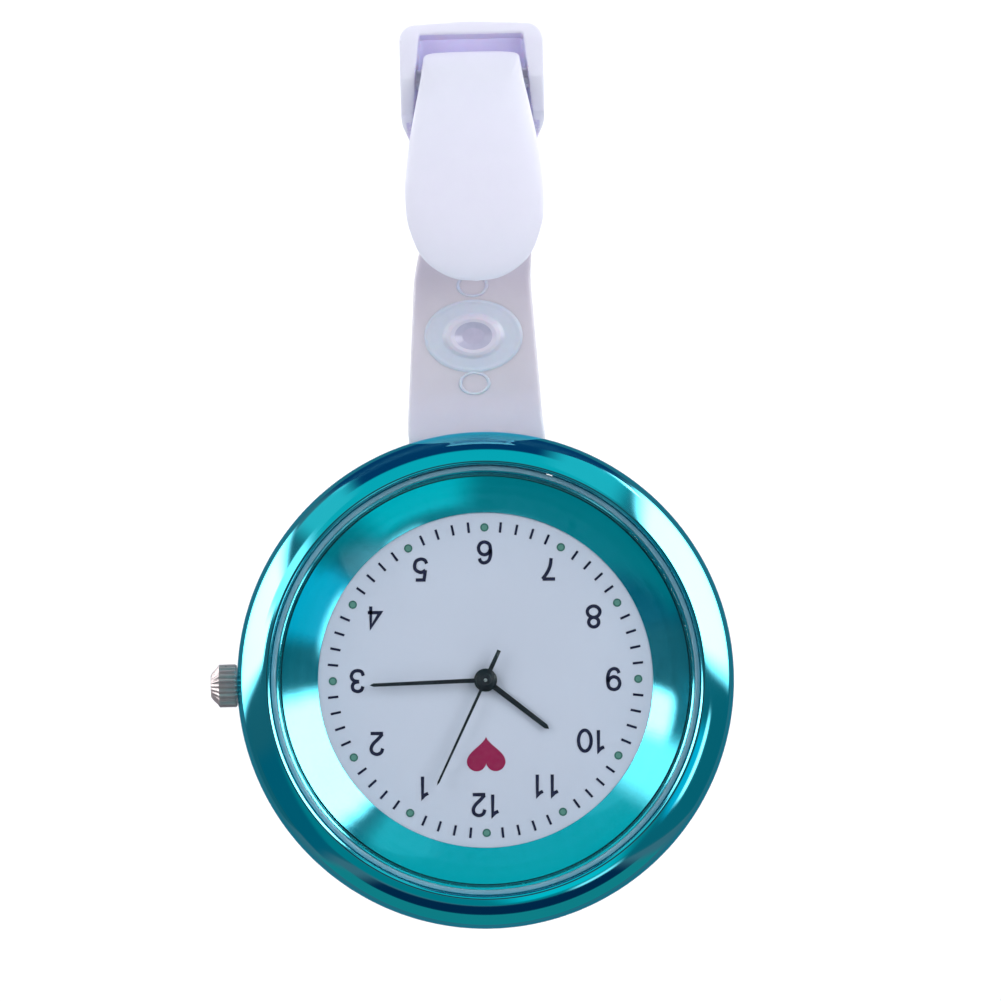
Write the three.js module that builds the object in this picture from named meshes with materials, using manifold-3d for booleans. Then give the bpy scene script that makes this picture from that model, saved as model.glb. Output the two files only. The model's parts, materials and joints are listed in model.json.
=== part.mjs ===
// Fob watch: a quartz watch hung from the chest by a short strap and a lever clip.
// Millimetres, +Z up. The dial faces -Y and is mounted upside down, so the wearer reads it from above.
// The origin is the middle of the clip's jaw, where the cloth is pinched, on the front face of its plate.

import * as THREE from 'three';
import { mergeVertices } from 'three/addons/utils/BufferGeometryUtils.js';
import Module from 'manifold-3d';

const wasm = await Module();
wasm.setup();

const DEG = Math.PI / 180;

// Sides of the largest round pieces.
const ROUND = 44;

// ---------------------------------------------------------------- driving dimensions

const clip = {
  halfWidth: 6.5, top: 4.65, plateBack: 1.6, cornerRadius: 2.0,
  waistHalfWidth: 5.7, waistTop: -6.0, bottom: -15.1,
  bridgeHeight: 1.15, bridgeFront: -5.0, bridgeBack: -2.4, bridgeChin: 3.0,
  armBottom: -5.2, armSlope: [[-4.2, -0.5], [-2.6, -3.6]], railOverlap: 0.2,
  windowHalfWidth: 4.7, windowCorner: 2.5, windowFoot: -6.0, jawHalfWidth: 5.9,
  windowFlare: [[5.15, 1.9], [5.3, 0.7], [5.45, -1], [5.9, -3.5]],
  pivotY: -2.6, pivotZ: -0.5, trunnionHole: 1.0, trunnionHoleEnd: 6.0,
  slotHalfWidth: 5.0, slotTop: -12.3, slotBottom: -13.7,
};

const lever = {
  top: 1.85, bottom: -18.6, thickness: 1.6, depthRange: [-8, 0], halfRoom: 7, rimSteps: 26,
  // Half width and height, from the top of the paddle to its tip.
  rim: [
    [2.6, 1.8], [4.15, 1.55], [4.6, 0.7], [5.02, -1.0], [5.45, -3.4], [5.98, -6.8], [6.25, -10],
    [6.2, -12.8], [5.85, -14.4], [5.0, -16.3], [3.7, -17.5], [2.0, -18.35],
  ],
  // Depth and height of the paddle's outer face, from above its top to below its tip.
  dome: [
    [-4.9, 2.7], [-5.7, -1], [-6.3, -4], [-6.5, -7.5], [-6.35, -11], [-5.9, -14.5], [-5.0, -17.5], [-4.3, -19.6],
  ],
  webDepth: 2.4, webHalfHeight: 0.9,
  hubRadius: 1.6, hubHalfWidth: 4.3, trunnionRadius: 0.9, trunnionEnd: 5.85,
  toeGap: 0.4, toeHalfHeight: 0.8, toeHalfWidth: 4.0, toothDepth: 0.3, toothPitch: 0.5,
};

const bars = { y: 0.8, clipZ: -14.4, clipRadius: 0.7, caseRadius: 0.6 };

const strap = {
  thickness: 0.8, loopClearance: 0.15,
  topWidth: 9.5, bottomWidth: 12.4, taperTop: -16.6, taperBottom: -32.6,
  runY: 0.35, flapY: 1.3, snapZ: -23.7, flapEnd: -29.2,
  flapPivotZ: -18.2, flexPivotZ: -31.05, jointHalfGap: 0.15,
};

const snap = {
  headRadius: 4.45, headSquash: 0.74, flangeHeight: 0.2, beadHeight: 0.3, bossRadius: 2.6, bossHeight: 0.6,
  dimpleRadius: 1.4, dimpleDepth: 0.3,
  studRadius: 1.2, studEnd: 2.0, boreRadius: 1.35, barrelRadius: 2.1, socketRadius: 3.6, socketHeight: 0.7,
  clearance: 0.1,
};

// Depths inside the case are measured back from the front of its bezel.
const watch = {
  centreZ: -55, frontY: -5.4,
  bezelOuter: 22.5, bezelInner: 19.4, bezelCrest: 19.9, bezelLip: 0.6, bezelShoulder: 3.0, bezelDepth: 4.2,
  crystalRadius: 18.9, crystalFront: 0.7, crystalBack: 2.2,
  gasketInner: 18.95, gasketOuter: 19.35,
  rehautFrontRadius: 18.4, rehautBackRadius: 14.9, rehautOuter: 18.6, rehautFront: 2.4, rehautBack: 3.5,
  dialRadius: 15.7, dialFront: 3.6, dialBack: 4.0, dialHole: 0.9,
  bodyOuter: 21.5, bodyInner: 16.0, neckOuter: 19.2, neckFront: 3.6, bodyFront: 4.3,
  flankDepth: 5.5, shoulderRadius: 20.3, shoulderDepth: 7.3,
  bodyBack: 8.2, bodyBackRadius: 18.6, seatRadius: 17.7, seatDepth: 7.85,
  backRadius: 17.5, backFront: 7.95, backEdge: 8.6, backDepth: 9.0, backFlatRadius: 16.0,
  pocketHalfWidth: 6.5, pocketFloor: 17.6, pocketFront: 4.25,
  lugOuter: 8.0, lugTop: 20.6, lugFront: 4.4, lugBack: 7.0,
  barZ: 19.4, barHalfLength: 7.7,
};

const hands = {
  hubRadius: 1.05, secondHubRadius: 0.55,
  hour: { front: 3.2, back: 3.38, length: 7.1, rootWidth: 0.45, tipWidth: 0.34, turn: 308.8 },
  minute: { front: 2.86, back: 3.02, length: 10.3, rootWidth: 0.33, tipWidth: 0.2, turn: 88.7 },
  second: { front: 2.52, back: 2.66, length: 10.3, rootWidth: 0.23, tipWidth: 0.16, turn: 26.0 },
  tailLength: 2.96, tailWidth: 0.4, pointLength: 0.35,
};

const crown = {
  depth: 5.4, inner: -22.75, outer: -25.15, radius: 1.95, faceRadius: 0.98, flutes: 24, fluteDepth: 0.12,
  recessRadius: 1.15, recessEnd: -24.2, boreRadius: 0.5, boreEnd: -24.7,
  tubeOuter: 1.0, tubeInner: 0.6, tubeStart: -16.2, tubeEnd: -23.4,
  stemRadius: 0.45, stemStart: -24.6, stemEnd: -2.7, grooveRadius: 0.25, grooveStart: -6.5, grooveEnd: -5.9,
};

const movement = {
  plateRadius: 9.0, plateFront: 4.7, plateBack: 5.3, bridgeFront: 6.7, bridgeBack: 7.1,
  holderInner: 9.1, holderOuter: 15.8, holderFront: 4.15, holderBack: 7.3,
  stemSlotHalfHeight: 0.8, stemSlotEnd: -2.6, pivotHole: 0.13, arborRadius: 0.08,
};

// ---------------------------------------------------------------- materials

function finish(color, roughness, metalness) {
  return new THREE.MeshStandardMaterial({ color, roughness, metalness });
}

const looks = {
  whitePlastic: finish(0xe6e5f2, 0.3, 0),
  vinyl: finish(0xc4c6d4, 0.35, 0),
  teal: finish(0x00a8b8, 0.12, 1),
  glass: finish(0xe9f2f5, 0.03, 0),
  gasket: finish(0x24434a, 0.6, 0),
  dial: finish(0xdfe5f2, 0.5, 0),
  black: finish(0x0b0d12, 0.35, 0.2),
  steel: finish(0x9a9894, 0.3, 1),
  brass: finish(0xc9a552, 0.3, 1),
  nylon: finish(0xd9d9d2, 0.5, 0),
  copper: finish(0xb8683a, 0.35, 1),
  board: finish(0x1f6b45, 0.5, 0),
  chip: finish(0x15161a, 0.4, 0),
  magnet: finish(0x54575c, 0.4, 0.8),
};

// ---------------------------------------------------------------- solid tools

function toManifold(geometry) {
  const bare = geometry.clone();
  bare.deleteAttribute('normal');
  bare.deleteAttribute('uv');
  const merged = mergeVertices(bare, 1e-5);
  const vertProperties = new Float32Array(merged.attributes.position.array);
  const triVerts = new Uint32Array(merged.index.array);
  return new wasm.Manifold(new wasm.Mesh({ numProp: 3, vertProperties, triVerts }));
}

function fromManifold(manifold) {
  const mesh = manifold.getMesh();
  const geometry = new THREE.BufferGeometry();
  geometry.setAttribute('position', new THREE.BufferAttribute(new Float32Array(mesh.vertProperties), 3));
  geometry.setIndex(new THREE.BufferAttribute(new Uint32Array(mesh.triVerts), 1));
  geometry.computeVertexNormals();
  return geometry;
}

function join(first, ...others) {
  const combine = (total, geometry) => total.add(toManifold(geometry));
  return fromManifold(others.reduce(combine, toManifold(first)));
}

function cut(body, ...tools) {
  const remove = (total, geometry) => total.subtract(toManifold(geometry));
  return fromManifold(tools.reduce(remove, toManifold(body)));
}

function common(first, second) {
  return fromManifold(toManifold(first).intersect(toManifold(second)));
}

function box(x0, x1, y0, y1, z0, z1) {
  const geometry = new THREE.BoxGeometry(x1 - x0, y1 - y0, z1 - z0);
  return geometry.translate((x0 + x1) / 2, (y0 + y1) / 2, (z0 + z1) / 2);
}

function outline(points) {
  return new THREE.Shape(points.map(([x, z]) => new THREE.Vector2(x, z)));
}

// A flat piece: its outline lies in the XZ plane and it is as thick as front to back in Y.
function plate(shape, front, back, curveSegments = 12) {
  const depth = back - front;
  const geometry = new THREE.ExtrudeGeometry(shape, { depth, bevelEnabled: false, curveSegments });
  return geometry.rotateX(Math.PI / 2).translate(0, back, 0);
}

// A piece with the same (y, z) section all along X, centred on x = 0.
function bar(points, halfWidth) {
  const geometry = new THREE.ExtrudeGeometry(outline(points), { depth: 2 * halfWidth, bevelEnabled: false });
  const axes = new THREE.Matrix4().makeBasis(
    new THREE.Vector3(0, 1, 0),
    new THREE.Vector3(0, 0, 1),
    new THREE.Vector3(1, 0, 0),
  );
  return geometry.applyMatrix4(axes).translate(-halfWidth, 0, 0);
}

// A round piece about the Y axis from its closed (radius, y) profile, listed anticlockwise.
function turned(profile, segments = ROUND) {
  const loop = [...profile, profile[0]];
  return new THREE.LatheGeometry(loop.map(([r, y]) => new THREE.Vector2(r, y)), segments);
}

function disc(radius, front, back, segments = 32) {
  const geometry = new THREE.CylinderGeometry(radius, radius, back - front, segments);
  return geometry.translate(0, (front + back) / 2, 0);
}

function ring(outer, inner, front, back, segments = ROUND) {
  return turned([[inner, front], [outer, front], [outer, back], [inner, back]], segments);
}

function rodAlongX(radius, x0, x1, y, z, segments = 16) {
  const geometry = new THREE.CylinderGeometry(radius, radius, x1 - x0, segments);
  return geometry.rotateZ(-Math.PI / 2).translate((x0 + x1) / 2, y, z);
}

function arc(centreY, centreZ, radius, start, end, steps) {
  const points = [];
  for (let step = 0; step <= steps; step += 1) {
    const angle = (start + ((end - start) * step) / steps) * DEG;
    points.push([centreY + radius * Math.cos(angle), centreZ + radius * Math.sin(angle)]);
  }
  return points;
}

const model = new THREE.Group();

function add(parent, name, geometry, material) {
  const mesh = new THREE.Mesh(geometry, material);
  mesh.name = name;
  parent.add(mesh);
  return mesh;
}

// ---------------------------------------------------------------- clip

function clipBase() {
  const w = clip.halfWidth;
  const r = clip.cornerRadius;
  const face = new THREE.Shape();
  face.moveTo(-w + r, clip.top);
  face.quadraticCurveTo(-w, clip.top, -w, clip.top - r);
  face.lineTo(-w, clip.armBottom + 1);
  face.lineTo(-clip.waistHalfWidth, clip.waistTop);
  face.lineTo(-clip.waistHalfWidth, clip.bottom);
  face.lineTo(clip.waistHalfWidth, clip.bottom);
  face.lineTo(clip.waistHalfWidth, clip.waistTop);
  face.lineTo(w, clip.armBottom + 1);
  face.lineTo(w, clip.top - r);
  face.quadraticCurveTo(w, clip.top, w - r, clip.top);
  face.lineTo(-w + r, clip.top);

  const block = plate(face, clip.bridgeFront, clip.plateBack, 6);
  const side = bar([
    [clip.plateBack, clip.bottom], [clip.plateBack, clip.top], [clip.bridgeFront, clip.top],
    [clip.bridgeFront, clip.bridgeChin], ...clip.armSlope, [0, clip.armBottom], [0, clip.bottom],
  ], w + 1);
  const wallSteps = [
    [clip.windowHalfWidth, clip.top - clip.bridgeHeight], [clip.windowHalfWidth, clip.windowCorner],
    ...clip.windowFlare, [clip.jawHalfWidth, clip.windowFoot],
  ];
  const window = plate(outline([
    ...wallSteps.map(([x, z]) => [-x, z]), ...wallSteps.reverse(),
  ]), clip.bridgeFront - 1, 0);
  const mouth = box(
    -clip.windowHalfWidth, clip.windowHalfWidth, clip.bridgeBack, 0,
    clip.top - clip.bridgeHeight - 1, clip.top + 1,
  );
  const slot = box(
    -clip.slotHalfWidth, clip.slotHalfWidth, -1, clip.plateBack + 1, clip.slotBottom, clip.slotTop,
  );
  const trunnionBore = rodAlongX(
    clip.trunnionHole, -clip.trunnionHoleEnd, clip.trunnionHoleEnd, clip.pivotY, clip.pivotZ, 24,
  );
  // The lowest rail of the plate is a round bar that the strap hangs from.
  const railFront = box(
    -clip.slotHalfWidth, clip.slotHalfWidth, -1, bars.y + 1, clip.bottom - 1, clip.slotBottom + 0.01,
  );
  const railEnd = clip.slotHalfWidth + clip.railOverlap;
  const rail = rodAlongX(bars.clipRadius, -railEnd, railEnd, bars.y, bars.clipZ);
  return join(cut(common(block, side), window, mouth, slot, trunnionBore, railFront), rail);
}

function clipLever() {
  const rim = new THREE.SplineCurve([
    [0, lever.top], ...lever.rim, [0, lever.bottom],
  ].map(([x, z]) => new THREE.Vector2(x, z))).getPoints(lever.rimSteps);
  const egg = outline([
    ...rim.map(({ x, y }) => [x, y]), ...rim.slice(1, -1).reverse().map(({ x, y }) => [-x, y]),
  ]);

  const underside = lever.dome.map(([y, z]) => [y + lever.thickness, z]).reverse();
  const dome = bar([...lever.dome, ...underside], lever.halfRoom);
  const paddle = common(plate(egg, ...lever.depthRange, 6), dome);
  const hub = rodAlongX(lever.hubRadius, -lever.hubHalfWidth, lever.hubHalfWidth, clip.pivotY, clip.pivotZ, 24);
  const web = box(
    -lever.hubHalfWidth, lever.hubHalfWidth, clip.pivotY - lever.webDepth, clip.pivotY,
    clip.pivotZ - lever.webHalfHeight, clip.pivotZ + lever.webHalfHeight,
  );
  const pin = rodAlongX(
    lever.trunnionRadius, -lever.trunnionEnd, lever.trunnionEnd, clip.pivotY, clip.pivotZ, 24,
  );
  const toeTip = -lever.toeGap;
  const pitch = lever.toothPitch;
  const toe = bar([
    [clip.pivotY, clip.pivotZ - lever.toeHalfHeight],
    [toeTip - lever.toothDepth, clip.pivotZ - lever.toeHalfHeight], [toeTip, clip.pivotZ - pitch],
    [toeTip - lever.toothDepth, clip.pivotZ - pitch / 2], [toeTip, clip.pivotZ],
    [toeTip - lever.toothDepth, clip.pivotZ + pitch / 2], [toeTip, clip.pivotZ + pitch],
    [toeTip - lever.toothDepth, clip.pivotZ + lever.toeHalfHeight],
    [clip.pivotY, clip.pivotZ + lever.toeHalfHeight],
  ], lever.toeHalfWidth);
  return join(paddle, web, hub, pin, toe);
}

// ---------------------------------------------------------------- strap

// The strap widens steadily from the clip down to the case.
function strapWidth(z) {
  const along = (strap.taperTop - z) / (strap.taperTop - strap.taperBottom);
  return strap.topWidth + (strap.bottomWidth - strap.topWidth) * Math.min(Math.max(along, 0), 1);
}

function taper(geometry) {
  const place = geometry.attributes.position;
  for (let i = 0; i < place.count; i += 1) {
    place.setX(i, place.getX(i) * strapWidth(place.getZ(i)));
  }
  return geometry;
}

function strapPiece(section) {
  return taper(bar(section, 0.5));
}

const half = strap.thickness / 2;
const tipReach = strap.jointHalfGap + half;

// The strap hangs in a loop on the clip's bar. Its long run comes down in front of its short flap.
function upperStrap() {
  const inner = bars.clipRadius + strap.loopClearance;
  const outer = inner + strap.thickness;
  const section = [
    ...arc(strap.flapY, strap.flapPivotZ + tipReach, half, 0, -180, 4),
    ...arc(bars.y, bars.clipZ, inner, -10, 190, 8),
    [strap.runY + half, -18.6],
    [strap.runY + half, -28.8],
    ...arc(bars.y, strap.flexPivotZ + tipReach, half, 0, -180, 4),
    [strap.runY - half, -28.6],
    [strap.runY - half, -18.6],
    ...arc(bars.y, bars.clipZ, outer, 188, -8, 10),
  ];
  const studHole = disc(snap.studRadius + snap.clearance, -3, 4).translate(0, 0, strap.snapZ);
  return cut(strapPiece(section), studHole);
}

function rearFlap() {
  const section = [
    ...arc(strap.flapY, strap.flapEnd + half, half, 180, 360, 4),
    ...arc(strap.flapY, strap.flapPivotZ - tipReach, half, 0, 180, 4),
  ];
  const hole = disc(snap.barrelRadius + snap.clearance, 0, 4).translate(0, 0, strap.snapZ);
  return cut(strapPiece(section), hole);
}

function lowerStrap() {
  const inner = bars.caseRadius + strap.loopClearance;
  const outer = inner + strap.thickness;
  const barZ = watch.centreZ + watch.barZ;
  const tip = strap.flexPivotZ - tipReach;
  const body = strapPiece([
    ...arc(bars.y, tip, half, 0, 180, 4),
    [bars.y - half, tip - 0.6],
    ...arc(bars.y, barZ, outer, 150, 390, 14),
    [bars.y + half, tip - 0.6],
  ]);
  return cut(body, rodAlongX(inner, -10, 10, bars.y, barZ, 20));
}

// ---------------------------------------------------------------- snap fastener

function snapStud() {
  const face = strap.runY - half - snap.clearance;
  const headPiece = turned([
    [0, face - snap.bossHeight + snap.dimpleDepth],
    [snap.dimpleRadius - 0.3, face - snap.bossHeight + snap.dimpleDepth],
    [snap.dimpleRadius + 0.1, face - snap.bossHeight], [snap.bossRadius - 0.4, face - snap.bossHeight],
    [snap.bossRadius, face - snap.flangeHeight], [snap.headRadius - 0.5, face - snap.flangeHeight],
    [snap.headRadius - 0.25, face - snap.beadHeight], [snap.headRadius, face - snap.flangeHeight],
    [snap.headRadius, face], [0, face],
  ], 28).scale(1, 1, snap.headSquash);
  const stud = disc(snap.studRadius, face - 0.1, snap.studEnd, 16);
  return join(headPiece, stud).translate(0, 0, strap.snapZ);
}

function snapSocket() {
  const start = strap.flapY - half + 0.05;
  const seat = strap.flapY + half + snap.clearance;
  return turned([
    [snap.boreRadius, start], [snap.barrelRadius, start], [snap.barrelRadius, seat], [snap.socketRadius, seat],
    [snap.socketRadius, seat + snap.socketHeight - 0.2], [snap.socketRadius - 0.4, seat + snap.socketHeight],
    [snap.boreRadius, seat + snap.socketHeight],
  ], 28).translate(0, 0, strap.snapZ);
}

add(model, 'clip_base', clipBase(), looks.whitePlastic);
add(model, 'clip_lever', clipLever(), looks.whitePlastic);
add(model, 'strap', upperStrap(), looks.vinyl);
add(model, 'strap_flap', rearFlap(), looks.vinyl);
add(model, 'strap_lower', lowerStrap(), looks.vinyl);
add(model, 'snap_stud', snapStud(), looks.vinyl);
add(model, 'snap_socket', snapSocket(), looks.vinyl);

// ---------------------------------------------------------------- case

// Everything in this group is placed from the middle of the dial and the front of the bezel.
const head = new THREE.Group();
head.position.set(0, watch.frontY, watch.centreZ);
model.add(head);

// The front slopes back from a crest near the crystal to the outer side, in one quarter of an ellipse.
function bezel() {
  const slope = arc(0, 0, 1, -90, 0, 7).map(([across, back]) => [
    watch.bezelCrest + across * (watch.bezelOuter - watch.bezelCrest),
    watch.bezelShoulder + back * watch.bezelShoulder,
  ]);
  return turned([
    [watch.bezelInner, watch.bezelLip], ...slope,
    [watch.bezelOuter, watch.bezelDepth - 0.5], [watch.bezelOuter - 0.5, watch.bezelDepth],
    [watch.bezelInner, watch.bezelDepth],
  ], ROUND);
}

function caseBody() {
  const shell = turned([
    [watch.bodyInner, watch.neckFront], [watch.neckOuter, watch.neckFront], [watch.neckOuter, watch.bodyFront],
    [watch.bodyOuter, watch.bodyFront], [watch.bodyOuter, watch.flankDepth],
    [watch.shoulderRadius, watch.shoulderDepth], [watch.bodyBackRadius, watch.bodyBack],
    [watch.seatRadius, watch.bodyBack],
    [watch.seatRadius, watch.seatDepth], [watch.bodyInner, watch.seatDepth],
  ], ROUND);
  const lugs = box(
    -watch.lugOuter, watch.lugOuter, watch.lugFront, watch.lugBack, watch.pocketFloor - 0.4, watch.lugTop,
  );
  const pocket = box(
    -watch.pocketHalfWidth, watch.pocketHalfWidth, watch.pocketFront, 10, watch.pocketFloor, 24,
  );
  const barBore = rodAlongX(
    bars.caseRadius + 0.04, -watch.barHalfLength - 0.1, watch.barHalfLength + 0.1,
    bars.y - watch.frontY, watch.barZ, 20,
  );
  const crownBore = rodAlongX(crown.tubeOuter + 0.04, -23, -15, crown.depth, 0, 20);
  return cut(join(shell, lugs), pocket, barBore, crownBore);
}

function caseBack() {
  return turned([
    [0, watch.backFront], [watch.backRadius, watch.backFront], [watch.backRadius, watch.backEdge],
    [watch.backFlatRadius, watch.backDepth], [0, watch.backDepth],
  ], ROUND);
}

function rehaut() {
  return turned([
    [watch.rehautFrontRadius, watch.rehautFront], [watch.rehautOuter, watch.rehautFront],
    [watch.rehautOuter, watch.rehautBack], [watch.rehautBackRadius, watch.rehautBack],
  ], ROUND);
}

function holder() {
  const ringBody = ring(movement.holderOuter, movement.holderInner, movement.holderFront, movement.holderBack);
  const stemSlot = box(-17, -8, crown.depth - 1, 9, -1.2, 1.2);
  return cut(ringBody, stemSlot);
}

add(head, 'bezel', bezel(), looks.teal);
add(head, 'crystal', disc(watch.crystalRadius, watch.crystalFront, watch.crystalBack, ROUND), looks.glass);
add(head, 'crystal_gasket', ring(
  watch.gasketOuter, watch.gasketInner, watch.crystalFront + 0.2, watch.crystalBack,
), looks.gasket);
add(head, 'rehaut', rehaut(), looks.teal);
add(head, 'case_body', caseBody(), looks.teal);
add(head, 'case_back', caseBack(), looks.steel);
add(head, 'strap_bar', rodAlongX(
  bars.caseRadius, -watch.barHalfLength, watch.barHalfLength, bars.y - watch.frontY, watch.barZ,
), looks.steel);
add(head, 'dial', ring(watch.dialRadius, watch.dialHole, watch.dialFront, watch.dialBack, ROUND), looks.dial);
add(head, 'movement_holder', holder(), looks.nylon);

// ---------------------------------------------------------------- hands

// A hand points along -Z at twelve, and its turn is counted clockwise as the wearer sees it.
function hand({ front, back, length, rootWidth, tipWidth, turn }, hubRadius, boreRadius, tail = 0) {
  const neck = length - hands.pointLength;
  const blade = plate(outline([
    [-rootWidth / 2, 0], [-tipWidth / 2, -neck], [0, -length], [tipWidth / 2, -neck], [rootWidth / 2, 0],
  ]), front, back);
  const pieces = [blade, disc(hubRadius, front, back, 24)];
  if (tail > 0) {
    pieces.push(box(-hands.tailWidth / 2, hands.tailWidth / 2, front, back, 0, tail));
  }
  const bore = disc(boreRadius, front - 1, back + 1, 16);
  return cut(join(...pieces), bore).rotateY(turn * DEG);
}

const hourPipe = { outer: 0.75, inner: 0.5 };
const cannonTube = { outer: 0.42, inner: 0.2 };
const secondArbor = 0.14;
const pressGap = 0.02;

add(head, 'hour_hand', hand(hands.hour, hands.hubRadius, hourPipe.outer + pressGap), looks.black);
add(head, 'minute_hand', hand(hands.minute, hands.hubRadius, cannonTube.outer + pressGap), looks.black);
add(head, 'second_hand', hand(
  hands.second, hands.secondHubRadius, secondArbor + pressGap, hands.tailLength,
), looks.black);

// ---------------------------------------------------------------- gears

// Teeth are blunt on pinions and pointed on wheels. One of them is centred on the angle phase,
// in degrees from +X towards +Z.
function gear(teeth, pitchRadius, phase, front, back, holeRadius = 0) {
  const toothModule = (2 * pitchRadius) / teeth;
  const tip = pitchRadius + 0.8 * toothModule;
  const root = pitchRadius - 1.1 * toothModule;
  const pitchAngle = (2 * Math.PI) / teeth;
  const blunt = [[root, -0.3], [tip, -0.12], [tip, 0.12], [root, 0.3]];
  const pointed = [[root, -0.25], [tip, 0], [root, 0.25]];
  const points = [];
  for (let tooth = 0; tooth < teeth; tooth += 1) {
    const middle = phase * DEG + tooth * pitchAngle;
    for (const [radius, offset] of teeth > 20 ? pointed : blunt) {
      const angle = middle + offset * pitchAngle;
      points.push([radius * Math.cos(angle), radius * Math.sin(angle)]);
    }
  }
  const shape = outline(points);
  if (holeRadius > 0) {
    shape.holes.push(new THREE.Path().absarc(0, 0, holeRadius, 0, 2 * Math.PI, true));
  }
  return plate(shape, front, back, 6);
}

// The gap of the follower meets the tooth of the driver on their line of centres.
function meshingPhase(direction, teeth) {
  return direction + 180 + 180 / teeth;
}

function polar(distance, direction) {
  return [distance * Math.cos(direction * DEG), distance * Math.sin(direction * DEG)];
}

const train = {
  third: { distance: 2.1, direction: 100 },
  fifth: { distance: 2.16, direction: 240 },
  rotorFromFifth: { distance: 1.785, direction: 250 },
  minuteWheel: { distance: 2.08, direction: 150 },
};
const thirdAt = polar(train.third.distance, train.third.direction);
const fifthAt = polar(train.fifth.distance, train.fifth.direction);
const rotorStep = polar(train.rotorFromFifth.distance, train.rotorFromFifth.direction);
const rotorAt = [fifthAt[0] + rotorStep[0], fifthAt[1] + rotorStep[1]];
const minuteWheelAt = polar(train.minuteWheel.distance, train.minuteWheel.direction);

const arborFront = 5.0;
const arborBack = 6.95;

function arbor(radius, front = arborFront, back = arborBack) {
  return disc(radius, front, back, 10);
}

function addWheel(name, [x, z], pieces, material) {
  const mesh = add(head, name, join(...pieces), material);
  mesh.position.set(x, 0, z);
  return mesh;
}

addWheel('fourth_wheel', [0, 0], [
  gear(30, 1.8, train.fifth.direction, 6.25, 6.4),
  gear(6, 0.247, train.third.direction, 5.8, 6.1),
  disc(secondArbor, 2.45, 6.95, 12),
], looks.brass);
addWheel('fifth_wheel', fifthAt, [
  gear(6, 0.36, meshingPhase(train.fifth.direction, 6), 6.2, 6.45),
  gear(36, 1.53, train.rotorFromFifth.direction, 5.95, 6.1),
  arbor(movement.arborRadius),
  disc(0.2, 6.05, 6.25, 10),
], looks.nylon);
addWheel('third_wheel', thirdAt, [
  gear(45, 1.853, meshingPhase(train.third.direction, 45), 5.85, 6.05),
  gear(6, 0.233, meshingPhase(train.third.direction, 6), 5.4, 5.7),
  disc(0.13, 5.6, 5.9, 10),
  arbor(movement.arborRadius),
], looks.nylon);
addWheel('rotor', rotorAt, [
  disc(0.6, 5.4, 5.8, 20),
  gear(6, 0.255, meshingPhase(train.rotorFromFifth.direction, 6), 5.9, 6.15),
  disc(0.15, 5.7, 5.95, 10),
  arbor(movement.arborRadius),
], looks.magnet);

function centreWheel() {
  return cut(
    join(gear(48, 1.867, train.third.direction, 5.45, 5.65), disc(0.55, 5.4, 5.75, 16)),
    disc(cannonTube.inner, 5, 6, 12),
  );
}

function cannonPinion() {
  const tube = ring(cannonTube.outer, cannonTube.inner, 2.8, 5.35, 16);
  const pinion = gear(8, 0.52, train.minuteWheel.direction, 4.38, 4.65, 0.3);
  return join(tube, pinion);
}

function hourWheel() {
  const wheel = gear(32, 1.664, train.minuteWheel.direction, 4.1, 4.3, 0.6);
  const pipe = ring(hourPipe.outer, hourPipe.inner, 3.15, 4.3, 20);
  return join(wheel, pipe);
}

add(head, 'centre_wheel', centreWheel(), looks.brass);
add(head, 'cannon_pinion', cannonPinion(), looks.steel);
add(head, 'hour_wheel', hourWheel(), looks.brass);
addWheel('minute_wheel', minuteWheelAt, [
  gear(24, 1.56, meshingPhase(train.minuteWheel.direction, 24), 4.4, 4.6),
  gear(8, 0.416, meshingPhase(train.minuteWheel.direction, 8), 4.1, 4.42),
  disc(0.14, 4.5, 5.1, 10),
], looks.nylon);

// ---------------------------------------------------------------- crown and setting work

function crownKnob() {
  const points = [];
  for (let flute = 0; flute < crown.flutes; flute += 1) {
    for (const [offset, radius] of [[0, crown.radius], [0.5, crown.radius - crown.fluteDepth]]) {
      const angle = ((flute + offset) / crown.flutes) * 2 * Math.PI;
      points.push([radius * Math.cos(angle), radius * Math.sin(angle)]);
    }
  }
  const length = crown.inner - crown.outer;
  const fluted = plate(outline(points), 0, length);
  const chamfer = turned([
    [0, -1], [crown.radius + 0.2, -1], [crown.radius + 0.2, length - 0.8],
    [crown.faceRadius, length], [0, length],
  ], 24);
  const recess = disc(crown.recessRadius, -1, crown.inner - crown.recessEnd, 24);
  const bore = disc(crown.boreRadius, -1, crown.inner - crown.boreEnd, 16);
  return cut(common(fluted, chamfer), recess, bore).rotateZ(Math.PI / 2).translate(crown.inner, crown.depth, 0);
}

// A ring about the stem between two places along X.
function ringOnStem(outer, inner, x0, x1, segments = 24) {
  return ring(outer, inner, 0, x1 - x0, segments).rotateZ(-Math.PI / 2).translate(x0, crown.depth, 0);
}

function stemRod(radius, x0, x1) {
  return rodAlongX(radius, x0, x1, crown.depth, 0, 16);
}

const clutch = { outer: -4.8, inner: -3.5, radius: 0.68, hubRadius: 0.62, teeth: 10 };

function clutchPinion() {
  const length = clutch.inner - clutch.outer;
  const toothed = gear(clutch.teeth, clutch.radius - 0.09, 0, length - 0.4, length);
  const hub = disc(clutch.hubRadius - 0.05, 0, length - 0.3, 16);
  const bore = disc(crown.stemRadius + 0.04, -1, length + 1, 16);
  return cut(join(toothed, hub), bore).rotateZ(-Math.PI / 2).translate(clutch.outer, crown.depth, 0);
}

const settingPivot = [-6.2, 2.2];
const settingPost = 0.2;

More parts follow.
